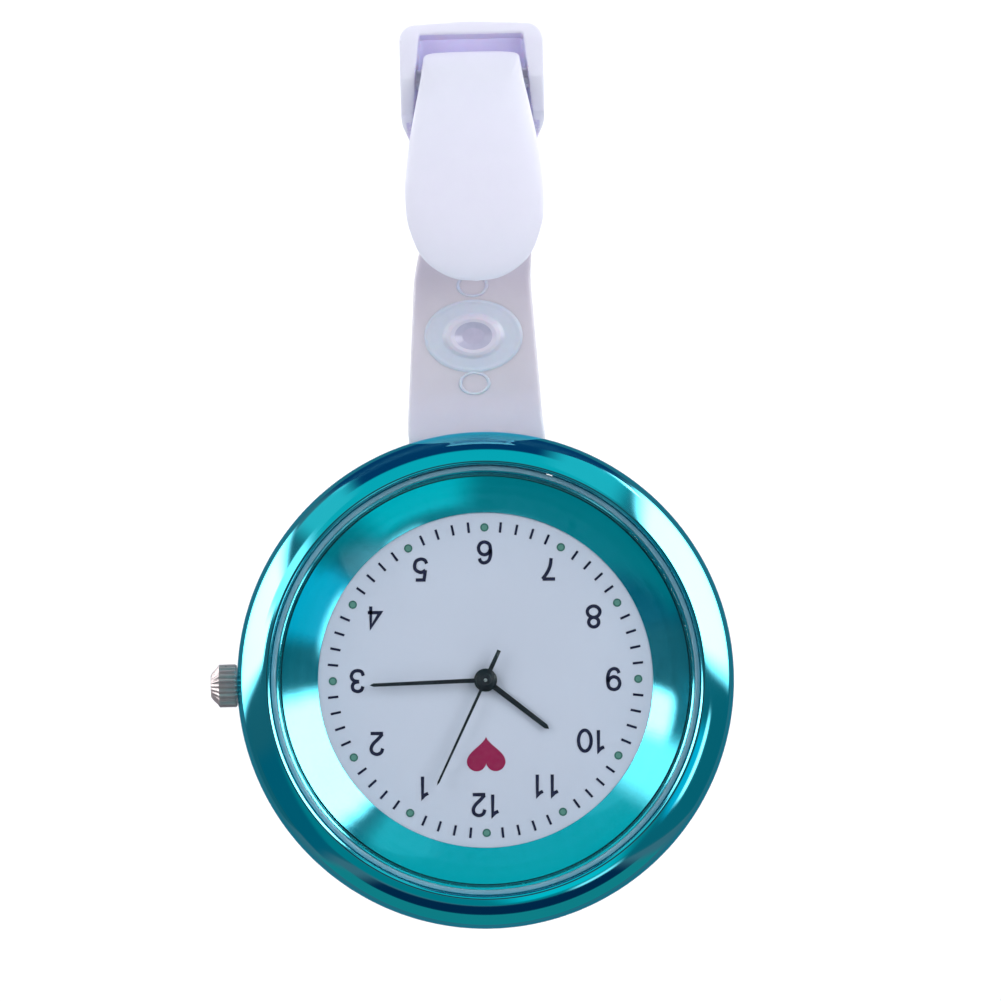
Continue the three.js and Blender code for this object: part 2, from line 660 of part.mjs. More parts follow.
function settingLever() {
  const [x, z] = settingPivot;
  const arm = plate(outline([
    [x - 0.35, -0.3], [x + 0.35, -0.3], [x + 0.45, z + 0.5], [x - 0.45, z + 0.5],
  ]), 5.95, 6.15);
  const finger = plate(outline([
    [x + 0.3, z - 0.3], [x + 1.5, 0.9], [x + 1.6, 1.3], [x + 0.3, z + 0.4],
  ]), 5.95, 6.15);
  const post = disc(settingPost, 4.9, 6.0, 12).translate(x, 0, z);
  const pin = disc(0.15, 5.72, 6.0, 10).translate(x, 0, 0);
  return join(arm, finger, post, pin);
}

add(head, 'crown', crownKnob(), looks.steel);
add(head, 'stem', join(
  stemRod(crown.stemRadius, crown.stemStart, crown.grooveStart),
  stemRod(crown.grooveRadius, crown.grooveStart - 0.2, crown.grooveEnd + 0.2),
  stemRod(crown.stemRadius, crown.grooveEnd, crown.stemEnd),
), looks.steel);
add(head, 'crown_tube', ringOnStem(crown.tubeOuter, crown.tubeInner, crown.tubeEnd, crown.tubeStart), looks.steel);
add(head, 'crown_gasket', ringOnStem(
  crown.recessRadius - 0.05, crown.stemRadius + 0.05, crown.recessEnd + 0.05, crown.tubeEnd - 0.05,
), looks.gasket);
add(head, 'clutch_pinion', clutchPinion(), looks.steel);
add(head, 'setting_lever', settingLever(), looks.steel);

// ---------------------------------------------------------------- movement frame

const battery = { radius: 3.4, front: 4.5, back: 7.1, distance: 5.4, direction: -50 };
const batteryAt = polar(battery.distance, battery.direction);
const screws = {
  bridge_screw_1: { at: [2.6, 1.4], pillar: 0.5, seat: movement.bridgeFront, head: movement.bridgeBack },
  bridge_screw_2: { at: [-3.0, -1.25], pillar: 0.32, seat: movement.bridgeFront, head: movement.bridgeBack },
  clamp_screw: { at: [7.2, 0.6], pillar: 0.5, seat: 7.15, head: 7.3 },
};
const screwShank = 0.15;
const screwHead = 0.42;

function placed(geometry, [x, z]) {
  return geometry.translate(x, 0, z);
}

function mainPlate() {
  const pillars = Object.values(screws).map(({ at, pillar, seat }) => (
    placed(disc(pillar, movement.plateFront, seat - 0.05, 16), at)
  ));
  const shanks = Object.values(screws).map(({ at }) => placed(disc(screwShank + 0.03, 4, 8, 10), at));
  const arborHoles = [thirdAt, fifthAt, rotorAt].map((at) => placed(disc(movement.pivotHole, 4, 6, 10), at));
  const h = movement.stemSlotHalfHeight;
  return cut(
    join(disc(movement.plateRadius, movement.plateFront, movement.plateBack, 36), ...pillars),
    ...shanks,
    ...arborHoles,
    disc(cannonTube.outer + 0.06, 4, 6, 16),
    placed(disc(0.17, 4, 6, 10), minuteWheelAt),
    placed(disc(settingPost + 0.03, 4, 6, 12), settingPivot),
    placed(disc(battery.radius + 0.15, 4, 6, 32), batteryAt),
    box(-10, movement.stemSlotEnd, 4, 6, -h, h),
  );
}

function trainBridge() {
  const shape = outline([
    [3.5, 1.2], [3.2, 2.0], [-0.3, 3.0], [-1.3, 2.7], [-3.9, -0.9], [-3.8, -1.9],
    [-2.6, -4.1], [-1.6, -4.4], [-0.9, -3.9], [0.2, -0.9],
  ]);
  const pivots = [[0, 0], thirdAt, fifthAt, rotorAt].map((at, index) => (
    placed(disc(index === 0 ? secondArbor + 0.05 : movement.pivotHole, 6, 8, 10), at)
  ));
  const shanks = ['bridge_screw_1', 'bridge_screw_2'].map((name) => (
    placed(disc(screwShank + 0.03, 6, 8, 10), screws[name].at)
  ));
  return cut(plate(shape, movement.bridgeFront, movement.bridgeBack), ...pivots, ...shanks);
}

function screw({ at, head: seat }) {
  const shank = disc(screwShank, 5.0, seat + 0.1, 10);
  const cap = disc(screwHead, seat + 0.02, seat + 0.25, 16);
  const driveSlot = box(-1, 1, seat + 0.15, seat + 1, -0.06, 0.06);
  return placed(cut(join(shank, cap), driveSlot), at);
}

add(head, 'main_plate', mainPlate(), looks.brass);
add(head, 'train_bridge', trainBridge(), looks.steel);
for (const [name, place] of Object.entries(screws)) {
  add(head, name, screw(place), looks.steel);
}

// ---------------------------------------------------------------- electric parts

// The coil lies across this direction; the stator reaches from its two ends to the rotor.
const coil = {
  at: [-5.2, -4.9], turn: 46.7, radius: 0.62, depth: 6.02, halfLength: 2.0, coreHalfLength: 2.95,
};

function coilPiece() {
  const winding = rodAlongX(coil.radius, -coil.halfLength, coil.halfLength, coil.depth, 0, 20);
  const core = box(-coil.coreHalfLength, coil.coreHalfLength, 5.8, 6.1, -0.4, 0.4);
  return join(winding, core);
}

// Drawn with the coil along X and the rotor above it.
function statorPiece() {
  const [rx, rz] = [1.425, 3.48];
  const shape = outline([
    [3, -0.45], [3, 4.2], [2.6, 4.6], [-0.2, 4.6], [-3, 1.6], [-3, -0.45],
    [-2.2, -0.45], [-2.2, 1], [2.2, 1], [2.2, -0.45],
  ]);
  shape.holes.push(new THREE.Path().absarc(rx, rz, 0.85, 0, 2 * Math.PI, true));
  return plate(shape, 5.5, 5.72, 12);
}

function besideCoil(mesh) {
  const [x, z] = coil.at;
  mesh.position.set(x, 0, z);
  mesh.rotation.y = coil.turn * DEG;
  return mesh;
}

besideCoil(add(head, 'coil', coilPiece(), looks.copper));
besideCoil(add(head, 'stator', statorPiece(), looks.magnet));

function circuitBoard() {
  const [inner, outer, start, end] = [4.4, 8.6, 15 * DEG, 165 * DEG];
  const shape = new THREE.Shape();
  shape.absarc(0, 0, outer, start, end, false);
  shape.absarc(0, 0, inner, end, start, true);
  return plate(shape, 6.75, 7.0, 20);
}

function quartzCan() {
  const can = rodAlongX(0.62, -2.1, 2.1, 6.0, 0, 16);
  const collar = rodAlongX(0.5, 2.0, 2.4, 6.0, 0, 16);
  return join(can, collar);
}

function batteryCell() {
  return turned([
    [0, battery.front], [2.7, battery.front], [2.7, battery.front + 0.25], [battery.radius, battery.front + 0.4],
    [battery.radius, battery.back], [0, battery.back],
  ], 28);
}

function batteryClamp() {
  const [x, z] = screws.clamp_screw.at;
  const strip = plate(outline([[-8, -0.65], [0.7, -0.65], [0.7, 0.65], [-8, 0.65]]), 7.15, 7.3);
  const hole = disc(screwShank + 0.03, 7, 8, 10);
  return cut(strip, hole).rotateY(-51.8 * DEG).translate(x, 0, z);
}

add(head, 'circuit_board', circuitBoard(), looks.board);
add(head, 'ic_chip', disc(1.1, 7.02, 7.3, 20).translate(0.4, 0, 6.5), looks.chip);
const can = add(head, 'quartz_can', quartzCan(), looks.steel);
can.position.set(-4.2, 0, 5.4);
can.rotation.y = -38 * DEG;
const cell = add(head, 'battery', batteryCell(), looks.steel);
cell.position.set(batteryAt[0], 0, batteryAt[1]);
add(head, 'battery_clamp', batteryClamp(), looks.steel);

export default model;
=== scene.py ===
import json
import math

import bmesh
import bpy
from mathutils import Matrix, Vector


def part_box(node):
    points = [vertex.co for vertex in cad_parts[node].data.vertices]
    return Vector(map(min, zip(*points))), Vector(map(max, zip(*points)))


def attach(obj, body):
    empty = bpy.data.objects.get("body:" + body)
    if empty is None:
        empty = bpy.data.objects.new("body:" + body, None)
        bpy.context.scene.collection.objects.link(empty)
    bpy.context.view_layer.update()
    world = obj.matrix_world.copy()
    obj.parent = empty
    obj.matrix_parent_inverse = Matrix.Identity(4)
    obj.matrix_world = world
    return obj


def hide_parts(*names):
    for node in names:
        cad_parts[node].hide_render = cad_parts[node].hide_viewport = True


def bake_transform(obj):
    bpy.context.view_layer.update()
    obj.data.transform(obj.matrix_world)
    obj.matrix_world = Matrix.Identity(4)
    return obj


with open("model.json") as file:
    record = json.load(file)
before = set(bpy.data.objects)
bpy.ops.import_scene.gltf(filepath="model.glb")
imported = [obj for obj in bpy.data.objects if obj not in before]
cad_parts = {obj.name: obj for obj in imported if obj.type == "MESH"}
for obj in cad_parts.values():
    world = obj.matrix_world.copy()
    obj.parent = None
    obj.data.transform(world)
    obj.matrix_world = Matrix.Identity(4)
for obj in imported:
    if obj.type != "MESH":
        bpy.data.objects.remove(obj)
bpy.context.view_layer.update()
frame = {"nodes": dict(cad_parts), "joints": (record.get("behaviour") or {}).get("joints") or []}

MM = 0.001

# ---- places read from the frame

BEZEL_LOW, BEZEL_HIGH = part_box("bezel")
CENTRE = (BEZEL_LOW + BEZEL_HIGH) / 2
FRONT_Y = BEZEL_LOW.y
CROWN_LOW, CROWN_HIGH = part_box("crown")
STUD_LOW, STUD_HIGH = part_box("snap_stud")
SOCKET_LOW, SOCKET_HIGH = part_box("snap_socket")
BAR_LOW, BAR_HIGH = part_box("strap_bar")
LEVER_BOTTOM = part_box("clip_lever")[0].z / MM
JOINTS = {joint["name"]: joint for joint in frame["joints"]}


def joint_place(name):
    """Where a joint is, in millimetres."""
    return Vector(JOINTS[name]["pos_m"]) / MM


def round_sizes(name):
    """A round CAD node of the head, in millimetres: its radius, then how deep its front and back lie."""
    low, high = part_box(name)
    return (high.x - low.x) / 2 / MM, (low.y - FRONT_Y) / MM, (high.y - FRONT_Y) / MM


# ---- shader helpers

NOISE_DETAIL = 4.0
TONE_PLACES = (0.3, 0.7)


def new_material(name):
    material = bpy.data.materials.new(name)
    material.use_nodes = True
    tree = material.node_tree
    return material, tree, tree.nodes["Principled BSDF"]


def fill(tree, socket, value):
    """Gives an input a value, or links it to another node's output."""
    if isinstance(value, bpy.types.NodeSocket):
        tree.links.new(value, socket)
    else:
        socket.default_value = value


def set_inputs(tree, node, **inputs):
    """Fills a node's inputs, which are named with _ for a space."""
    for name, value in inputs.items():
        fill(tree, node.inputs[name.replace("_", " ")], value)
    return node


def add_node(tree, kind, **inputs):
    return set_inputs(tree, tree.nodes.new("ShaderNode" + kind), **inputs)


def math_node(tree, operation, first, second):
    node = tree.nodes.new("ShaderNodeMath")
    node.operation = operation
    fill(tree, node.inputs[0], first)
    fill(tree, node.inputs[1], second)
    return node.outputs["Value"]


def mix_shaders(tree, share, first, second):
    """Two shaders mixed by a share, which is 0 for the first alone and 1 for the second alone."""
    mix = add_node(tree, "MixShader", Fac=share)
    tree.links.new(first, mix.inputs[1])
    tree.links.new(second, mix.inputs[2])
    return mix.outputs["Shader"]


def noise_node(tree, scale, stretch=(1, 1, 1)):
    """Object-space noise, so that grain stays put on the piece."""
    place = add_node(tree, "TexCoord")
    mapping = add_node(tree, "Mapping", Scale=stretch, Vector=place.outputs["Object"])
    return add_node(tree, "TexNoise", Scale=scale, Detail=NOISE_DETAIL, Vector=mapping.outputs["Vector"])


def vary_colour(tree, shader, noise, *tones):
    """Base colour drifts between two close tones."""
    ramp = add_node(tree, "ValToRGB", Fac=noise.outputs["Fac"])
    for element, place, tone in zip(ramp.color_ramp.elements, TONE_PLACES, tones):
        element.position = place
        element.color = (*tone, 1)
    set_inputs(tree, shader, Base_Color=ramp.outputs["Color"])


def vary_roughness(tree, shader, noise, low, high):
    spread = add_node(tree, "MapRange", Value=noise.outputs["Fac"], To_Min=low, To_Max=high)
    set_inputs(tree, shader, Roughness=spread.outputs["Result"])


def add_bump(tree, shader, noise, strength, distance):
    bump = add_node(tree, "Bump", Strength=strength, Distance=distance, Height=noise.outputs["Fac"])
    set_inputs(tree, shader, Normal=bump.outputs["Normal"])


def finish_material(name, first, second, scale, rough, bump, stretch=(1, 1, 1), **values):
    """Drifting colour, varied roughness and a fine relief, given as its strength, distance and scale."""
    material, tree, shader = new_material(name)
    grain = noise_node(tree, scale, stretch)
    vary_colour(tree, shader, grain, first, second)
    vary_roughness(tree, shader, grain, *rough)
    strength, distance, fineness = bump
    add_bump(tree, shader, noise_node(tree, fineness, stretch), strength, distance)
    set_inputs(tree, shader, **values)
    return material


def teal_plating():
    """Thin coloured plating over polished steel: saturated where it faces the eye, bluer at its edges."""
    return finish_material(
        "teal_plating", (0.105, 0.47, 0.57), (0.115, 0.50, 0.60), 90, (0.05, 0.085),
        bump=(0.02, 0.00002, 900), Metallic=1.0, Specular_Tint=(0.3, 0.85, 1.0, 1.0),
    )


def teal_flank():
    """The same plating where the polish stops and a fine grain shows."""
    return finish_material(
        "teal_flank", (0.0, 0.36, 0.42), (0.01, 0.44, 0.48), 1500, (0.16, 0.34),
        bump=(0.25, 0.00003, 2600), Metallic=1.0, Specular_Tint=(0.3, 0.7, 0.9, 1.0),
    )


def white_plastic():
    return finish_material(
        "white_plastic", (0.855, 0.835, 0.95), (0.865, 0.845, 0.96), 700, (0.42, 0.46),
        bump=(0.03, 0.00002, 1400), Specular_IOR_Level=0.14, Subsurface_Weight=0.25, Subsurface_Scale=0.0015,
        Subsurface_Radius=(1.0, 0.9, 1.0),
    )


def frosted_vinyl():
    """Soft see-through PVC with a frosted skin and a lavender cast."""
    return finish_material(
        "frosted_vinyl", (0.74, 0.68, 0.75), (0.76, 0.70, 0.77), 500, (0.30, 0.36),
        bump=(0.06, 0.00004, 900), IOR=1.5, Subsurface_Weight=0.5, Subsurface_Scale=0.0012,
        Subsurface_Radius=(0.9, 0.9, 1.0), Transmission_Weight=0.12, Specular_IOR_Level=0.12,
    )


def snap_plastic():
    return finish_material(
        "snap_plastic", (0.74, 0.69, 0.79), (0.77, 0.72, 0.82), 900, (0.2, 0.26),
        bump=(0.05, 0.00003, 900), Specular_IOR_Level=0.12, Subsurface_Weight=0.3, Subsurface_Scale=0.001,
        Transmission_Weight=0.1,
    )


def snap_dimple():
    """The sunken middle of the snap's head in a darker lilac: painted shade in the dimple."""
    return finish_material(
        "snap_dimple", (0.52, 0.49, 0.63), (0.58, 0.54, 0.68), 1500, (0.14, 0.2),
        bump=(0.08, 0.00004, 1400), Specular_IOR_Level=0.25, Transmission_Weight=0.1,
    )


def dial_paint():
    return finish_material(
        "dial_paint", (0.60, 0.63, 0.74), (0.615, 0.645, 0.755), 60, (0.38, 0.46),
        bump=(0.05, 0.00001, 4000), IOR=1.45,
    )


def printed_ink(name, colour):
    paler = tuple(channel + 0.012 for channel in colour)
    return finish_material(
        name, colour, paler, 3000, (0.5, 0.65),
        bump=(0.1, 0.00001, 6000), Specular_IOR_Level=0.15,
    )


def black_lacquer():
    return finish_material(
        "black_lacquer", (0.003, 0.004, 0.008), (0.006, 0.007, 0.012), 700, (0.3, 0.42),
        bump=(0.05, 0.00001, 3000), Specular_IOR_Level=0.3, Coat_Weight=0.1, Coat_Roughness=0.2,
    )


def brushed_metal(name, colour, stretch=(1, 1, 1)):
    darker = tuple(channel * 0.86 for channel in colour)
    return finish_material(
        name, darker, colour, 900, (0.22, 0.36),
        bump=(0.12, 0.00002, 1260), stretch=stretch, Metallic=1.0,
    )


def crown_plating():
    """Worn plating on the crown: half metal, half dull film, so it stays grey beside the coloured bezel."""
    return finish_material(
        "crown_steel", (0.31, 0.245, 0.245), (0.38, 0.30, 0.30), 900, (0.24, 0.34),
        bump=(0.1, 0.00002, 1300), Metallic=0.3, Specular_IOR_Level=0.5,
    )


def plain_part(name, first, second, rough=(0.4, 0.55)):
    return finish_material(name, first, second, 500, rough, bump=(0.1, 0.00002, 1500))


def crystal_glass():
    """Clear glass that lets the lamps reach the dial."""
    material, tree, shader = new_material("crystal_glass")
    set_inputs(tree, shader, IOR=1.45, Transmission_Weight=1.0, Base_Color=(0.97, 1.0, 1.0, 1.0))
    vary_roughness(tree, shader, noise_node(tree, 400), 0.0, 0.012)
    clear = add_node(tree, "BsdfTransparent").outputs["BSDF"]
    path = add_node(tree, "LightPath")
    glass = shader.outputs["BSDF"]
    for ray in ("Is Diffuse Ray", "Is Shadow Ray"):
        glass = mix_shaders(tree, path.outputs[ray], glass, clear)
    set_inputs(tree, tree.nodes["Material Output"], Surface=glass)
    return material


def recess_plastic():
    """The same plastic, darker and more lilac: painted shade for the faces deep inside the clip."""
    return finish_material(
        "recess_plastic", (0.68, 0.64, 0.86), (0.70, 0.66, 0.88), 700, (0.42, 0.46),
        bump=(0.03, 0.00002, 1400), Specular_IOR_Level=0.14, Subsurface_Weight=0.25, Subsurface_Scale=0.0015,
    )


TEAL = teal_plating()
FLANK = teal_flank()
WHITE = white_plastic()
# Painted shade for the clip's inside faces.
RECESS_SHADE = recess_plastic()
VINYL = frosted_vinyl()
SNAP = snap_plastic()
# Painted shade for the snap's sunken middle.
DIMPLE_SHADE = snap_dimple()
DIAL = dial_paint()
NAVY_INK = printed_ink("navy_ink", (0.003, 0.004, 0.030))
GREEN_INK = printed_ink("green_ink", (0.10, 0.27, 0.22))
RIM_INK = printed_ink("rim_ink", (0.045, 0.15, 0.125))
CRIMSON_INK = printed_ink("crimson_ink", (0.29, 0.006, 0.065))
BLACK = black_lacquer()
GLASS = crystal_glass()
STEEL = brushed_metal("steel", (0.62, 0.62, 0.63))
CROWN_STEEL = crown_plating()
BRASS = brushed_metal("brass", (0.78, 0.58, 0.26))
COPPER = brushed_metal("copper_wire", (0.72, 0.32, 0.14), stretch=(0.2, 3, 3))
MAGNET = brushed_metal("ground_iron", (0.22, 0.23, 0.25))
NYLON = plain_part("nylon", (0.72, 0.72, 0.68), (0.80, 0.80, 0.76))
BOARD = plain_part("solder_mask", (0.02, 0.16, 0.08), (0.03, 0.22, 0.11))
RESIN = plain_part("cast_resin", (0.008, 0.008, 0.010), (0.02, 0.02, 0.022))
GASKET = plain_part("gasket_rubber", (0.16, 0.33, 0.42), (0.20, 0.38, 0.47), rough=(0.25, 0.4))

# ---- mesh helpers

WELD = 1e-5
FILLET_REACH = 0.48
ROD_STEPS = 48
BEVEL_SEGMENTS = 2


def settle(piece, body, stands_for=()):
    """Puts a finished piece on its body and hides the CAD nodes that it stands for."""
    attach(piece, body)
    if stands_for:
        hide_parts(*stands_for)
    return piece


def show(name, data):
    """Puts new data into the scene as an object."""
    piece = bpy.data.objects.new(name, data)
    bpy.context.scene.collection.objects.link(piece)
    return piece


def shade(mesh, sharp):
    """Smooth shading, but for edges that turn by more than the sharp angle."""
    mesh.shade_smooth()
    mesh.set_sharp_from_angle(angle=math.radians(sharp))


def make_piece(name, shape, materials, sharp=35.0):
    """Turns a bmesh, in millimetres, into a shown object in metres with smooth shading."""
    bmesh.ops.remove_doubles(shape, verts=shape.verts, dist=WELD)
    bmesh.ops.recalc_face_normals(shape, faces=shape.faces)
    bmesh.ops.scale(shape, vec=(MM, MM, MM), verts=shape.verts)
    mesh = bpy.data.meshes.new(name)
    shape.to_mesh(mesh)
    shape.free()
    shade(mesh, sharp)
    for material in materials:
        mesh.materials.append(material)
    return show(name, mesh)


def apply_modifiers(piece):
    """Replaces the piece's mesh by what its modifiers give."""
    graph = bpy.context.evaluated_depsgraph_get()
    mesh = bpy.data.meshes.new_from_object(piece.evaluated_get(graph))
    piece.modifiers.clear()
    piece.data = mesh


def combine(piece, other, operation):
    """Joins or cuts a piece with another one, which is used up."""
    change = piece.modifiers.new("combine", "BOOLEAN")
    change.object = other
    change.operation = operation
    change.solver = "EXACT"
    apply_modifiers(piece)
    bpy.data.objects.remove(other)


def filleted(corners, steps=6):
    """A closed outline from corners (a, b, radius), each one rounded by its own radius."""
    points = []
    for index, (a, b, radius) in enumerate(corners):
        here = Vector((a, b))
        before = Vector(corners[index - 1][:2]) - here
        after = Vector(corners[(index + 1) % len(corners)][:2]) - here
        if radius <= 0:
            points.append(here)
            continue
        half = before.angle(after) / 2
        reach = min(radius / math.tan(half), FILLET_REACH * before.length, FILLET_REACH * after.length)
        radius = reach * math.tan(half)
        start = here + before.normalized() * reach
        end = here + after.normalized() * reach
        middle = here + (before.normalized() + after.normalized()).normalized() * radius / math.sin(half)
        first = math.atan2(start.y - middle.y, start.x - middle.x)
        turn = math.atan2(end.y - middle.y, end.x - middle.x) - first
        turn = (turn + math.pi) % (2 * math.pi) - math.pi
        for step in range(steps + 1):
            angle = first + turn * step / steps
            points.append(middle + radius * Vector((math.cos(angle), math.sin(angle))))
    return points


def smooth_path(points, per_span=8):
    """A Catmull-Rom curve through given points."""
    knots = [Vector(point) for point in points]
    path = []
    for index in range(len(knots) - 1):
        b, c = knots[index], knots[index + 1]
        a = knots[index - 1] if index > 0 else b * 2 - c
        d = knots[index + 2] if index + 2 < len(knots) else c * 2 - b
        for step in range(per_span):
            t = step / per_span
            path.append(0.5 * (
                2 * b + (c - a) * t + (2 * a - 5 * b + 4 * c - d) * t * t + (3 * b - a - 3 * c + d) * t ** 3
            ))
    path.append(knots[-1])
    return path


def join_rings(shape, rings, capped=False):
    """Skins matching rings of points one after another. Points that are the same one give triangles."""
    for first, second in zip(rings, rings[1:]):
        for index in range(len(first)):
            nxt = (index + 1) % len(first)
            corners = list(dict.fromkeys((first[index], first[nxt], second[nxt], second[index])))
            if len(corners) >= 3:
                shape.faces.new(corners)
    if capped:
        shape.faces.new(rings[0])
        shape.faces.new(reversed(rings[-1]))
    return shape


def lathe(profile, steps):
    """Turns a closed (radius, y) profile about the Y axis."""
    shape = bmesh.new()
    rings = []
    for radius, y in profile:
        if radius == 0:
            rings.append([shape.verts.new((0, y, 0))] * steps)
            continue
        ring = []
        for step in range(steps):
            angle = 2 * math.pi * step / steps
            ring.append(shape.verts.new((radius * math.cos(angle), y, radius * math.sin(angle))))
        rings.append(ring)
    return join_rings(shape, rings + rings[:1])


def prism(outline, front, back):
    """A flat piece whose outline lies in the XZ plane, between two places along Y."""
    shape = bmesh.new()
    return join_rings(shape, [[shape.verts.new((x, y, z)) for x, z in outline] for y in (front, back)], True)


def beam(section, half_width):
    """The same (y, z) section all along X."""
    shape = bmesh.new()
    ends = [[shape.verts.new((x, y, z)) for y, z in section] for x in (-half_width, half_width)]
    return join_rings(shape, ends, True)


def slab(half_width, y0, y1, z0, z1):
    return beam([(y0, z0), (y1, z0), (y1, z1), (y0, z1)], half_width)


def rod(radius, x0, x1, y, z):
    """A round bar along X."""
    shape = lathe([(0, x0), (radius, x0), (radius, x1), (0, x1)], ROD_STEPS)
    shape.transform(Matrix.Translation((0, y, z)) @ Matrix.Rotation(-math.pi / 2, 4, "Z"))
    return shape


def tool(shape):
    """A piece that is only there to cut or to join."""
    return make_piece("tool", shape, [])


def merge(target, source):
    """Adds one bmesh to another, which keeps it as a separate closed shell."""
    scratch = bpy.data.meshes.new("scratch")
    source.to_mesh(scratch)
    target.from_mesh(scratch)
    source.free()
    bpy.data.meshes.remove(scratch)


def soften_edges(piece, width, angle):
    """Rounds a piece's edges by a bevel, as moulding or polishing does."""
    bevel = piece.modifiers.new("edges", "BEVEL")
    bevel.width = width * MM
    bevel.segments = BEVEL_SEGMENTS
    bevel.limit_method = "ANGLE"
    bevel.angle_limit = math.radians(angle)
    apply_modifiers(piece)
    shade(piece.data, 35)


# Depths in the head are millimetres back from the front of the bezel, and the dial's middle is its axis.
HEAD = Matrix.Translation((CENTRE.x / MM, FRONT_Y / MM, CENTRE.z / MM))


def in_head(shape):
    shape.transform(HEAD)
    return shape


def head_ring(name, corners, material, node, steps=192):
    """A round piece of the head from its filleted (radius, depth) corners."""
    shape = in_head(lathe(filleted(corners), steps))
    return settle(make_piece(name, shape, [material]), "case", [node])


# ---- bezel, crystal and reflector

BEZEL_OUTER, _, BEZEL_BACK = round_sizes("bezel")
BEZEL_INNER = 19.4
BEZEL_LIP = 19.68
BEZEL_CURVE = {"middle": 18.97, "across": BEZEL_OUTER - 18.97, "deep": 3.5}
BEZEL_STEPS = 30
REFLECTOR = {"front": 2.4, "back": 3.55, "front_radius": 18.4, "back_radius": 14.95, "outer": 18.6}
CRYSTAL_RADIUS, CRYSTAL_FRONT, CRYSTAL_BACK = round_sizes("crystal")
CRYSTAL_EDGE = {"flat": 0.4, "bevel": 0.22, "bevel_depth": 0.2, "back_flat": 0.1}
GASKET_PLAY = 0.05


def bezel():
    """A polished ring that leans outwards from its lip and rolls over to its outer side."""
    curve = BEZEL_CURVE
    start = math.acos((BEZEL_LIP - curve["middle"]) / curve["across"])
    profile = [(BEZEL_INNER, 0.42), (BEZEL_INNER + 0.04, 0.26), (BEZEL_INNER + 0.13, 0.14)]
    for step in range(BEZEL_STEPS + 1):
        angle = start * (1 - step / BEZEL_STEPS)
        across = curve["middle"] + curve["across"] * math.cos(angle)
        profile.append((across, curve["deep"] * (1 - math.sin(angle))))
    profile += filleted([
        (BEZEL_OUTER, curve["deep"], 0), (BEZEL_OUTER, BEZEL_BACK, 0.35), (BEZEL_INNER, BEZEL_BACK, 0.1),
    ])[1:]
    piece = make_piece("bezel_ring", in_head(lathe(profile, 256)), [TEAL], 50)
    return settle(piece, "case", ["bezel"])


def reflector():
    """The mirror cone between the crystal and the dial."""
    r = REFLECTOR
    corners = [
        (r["front_radius"], r["front"], 0.05), (r["outer"], r["front"], 0.03),
        (r["outer"], r["back"], 0.02), (r["back_radius"], r["back"], 0.04),
    ]
    return head_ring("reflector_ring", corners, TEAL, "rehaut", 256)


def crystal():
    """A crystal with a polished bevel at its rim. The inner rings keep its two faces truly flat."""
    edge, radius, front, back = CRYSTAL_EDGE, CRYSTAL_RADIUS, CRYSTAL_FRONT, CRYSTAL_BACK
    corners = [
        (0, front, 0), (radius - edge["flat"], front, 0), (radius - edge["bevel"], front, 0.04),
        (radius, front + edge["bevel_depth"], 0.04), (radius, back, 0.03),
        (radius - edge["back_flat"], back, 0), (0, back, 0),
    ]
    return head_ring("crystal_pane", corners, GLASS, "crystal", 256)


def crystal_gasket():
    outer, front, back = round_sizes("crystal_gasket")
    inner = CRYSTAL_RADIUS + GASKET_PLAY
    corners = [(inner, front, 0.1), (outer, front, 0.1), (outer, back, 0.05), (inner, back, 0.05)]
    return head_ring("gasket_ring", corners, GASKET, "crystal_gasket")


# ---- case

CASE = {
    "inner": 16.0, "neck": 19.2, "neck_front": 3.6, "front": 4.3, "outer": 21.5, "flank": 5.5,
    "shoulder": (20.3, 7.3), "back_radius": 18.6, "back": 8.2, "seat": 17.7, "seat_depth": 7.85,
}
POCKET = {"half_width": 6.5, "front": 4.25, "back": 12, "floor": 17.6, "top": 25}
LUG = {"half_width": 8.0, "front": 4.4, "back": 7.0, "bottom": 17.2, "top": 20.6}
BAR_RADIUS = 0.6
BAR_PLAY = 0.04
BAR_BORE_EXTRA = 0.1
BAR_MIDDLE = (BAR_LOW + BAR_HIGH) / 2 / MM
TUBE_RADIUS = 1.04
STEM_BORE = (-23, -15)
LID = {
    "step": 0.4, "slope": 1.5, "grooves": (3.2, 5.0), "groove": 0.4, "groove_floor": 0.2,
    "groove_depth": 0.14,
}


def case_body():
    c, p, lug = CASE, POCKET, LUG
    corners = [
        (c["inner"], c["neck_front"], 0.05), (c["neck"], c["neck_front"], 0.05),
        (c["neck"], c["front"], 0.02), (c["outer"], c["front"], 0.25),
        (c["outer"], c["flank"], 0.9), (*c["shoulder"], 2.0),
        (c["back_radius"], c["back"], 0.3), (c["seat"], c["back"], 0.12), (c["seat"], c["seat_depth"], 0.03),
        (c["inner"], c["seat_depth"], 0.05),
    ]
    shell = make_piece("case_shell", in_head(lathe(filleted(corners), 224)), [FLANK], 40)
    ears = in_head(slab(lug["half_width"], lug["front"], lug["back"], lug["bottom"], lug["top"]))
    combine(shell, tool(ears), "UNION")
    cuts = [
        in_head(slab(p["half_width"], p["front"], p["back"], p["floor"], p["top"])),
        rod(
            BAR_RADIUS + BAR_PLAY, BAR_LOW.x / MM - BAR_BORE_EXTRA, BAR_HIGH.x / MM + BAR_BORE_EXTRA,
            BAR_MIDDLE.y, BAR_MIDDLE.z,
        ),
        rod(TUBE_RADIUS, *STEM_BORE, 0, CENTRE.z / MM),
    ]
    for shape in cuts:
        combine(shell, tool(shape), "DIFFERENCE")
    shade(shell.data, 30)
    return settle(shell, "case", ["case_body"])


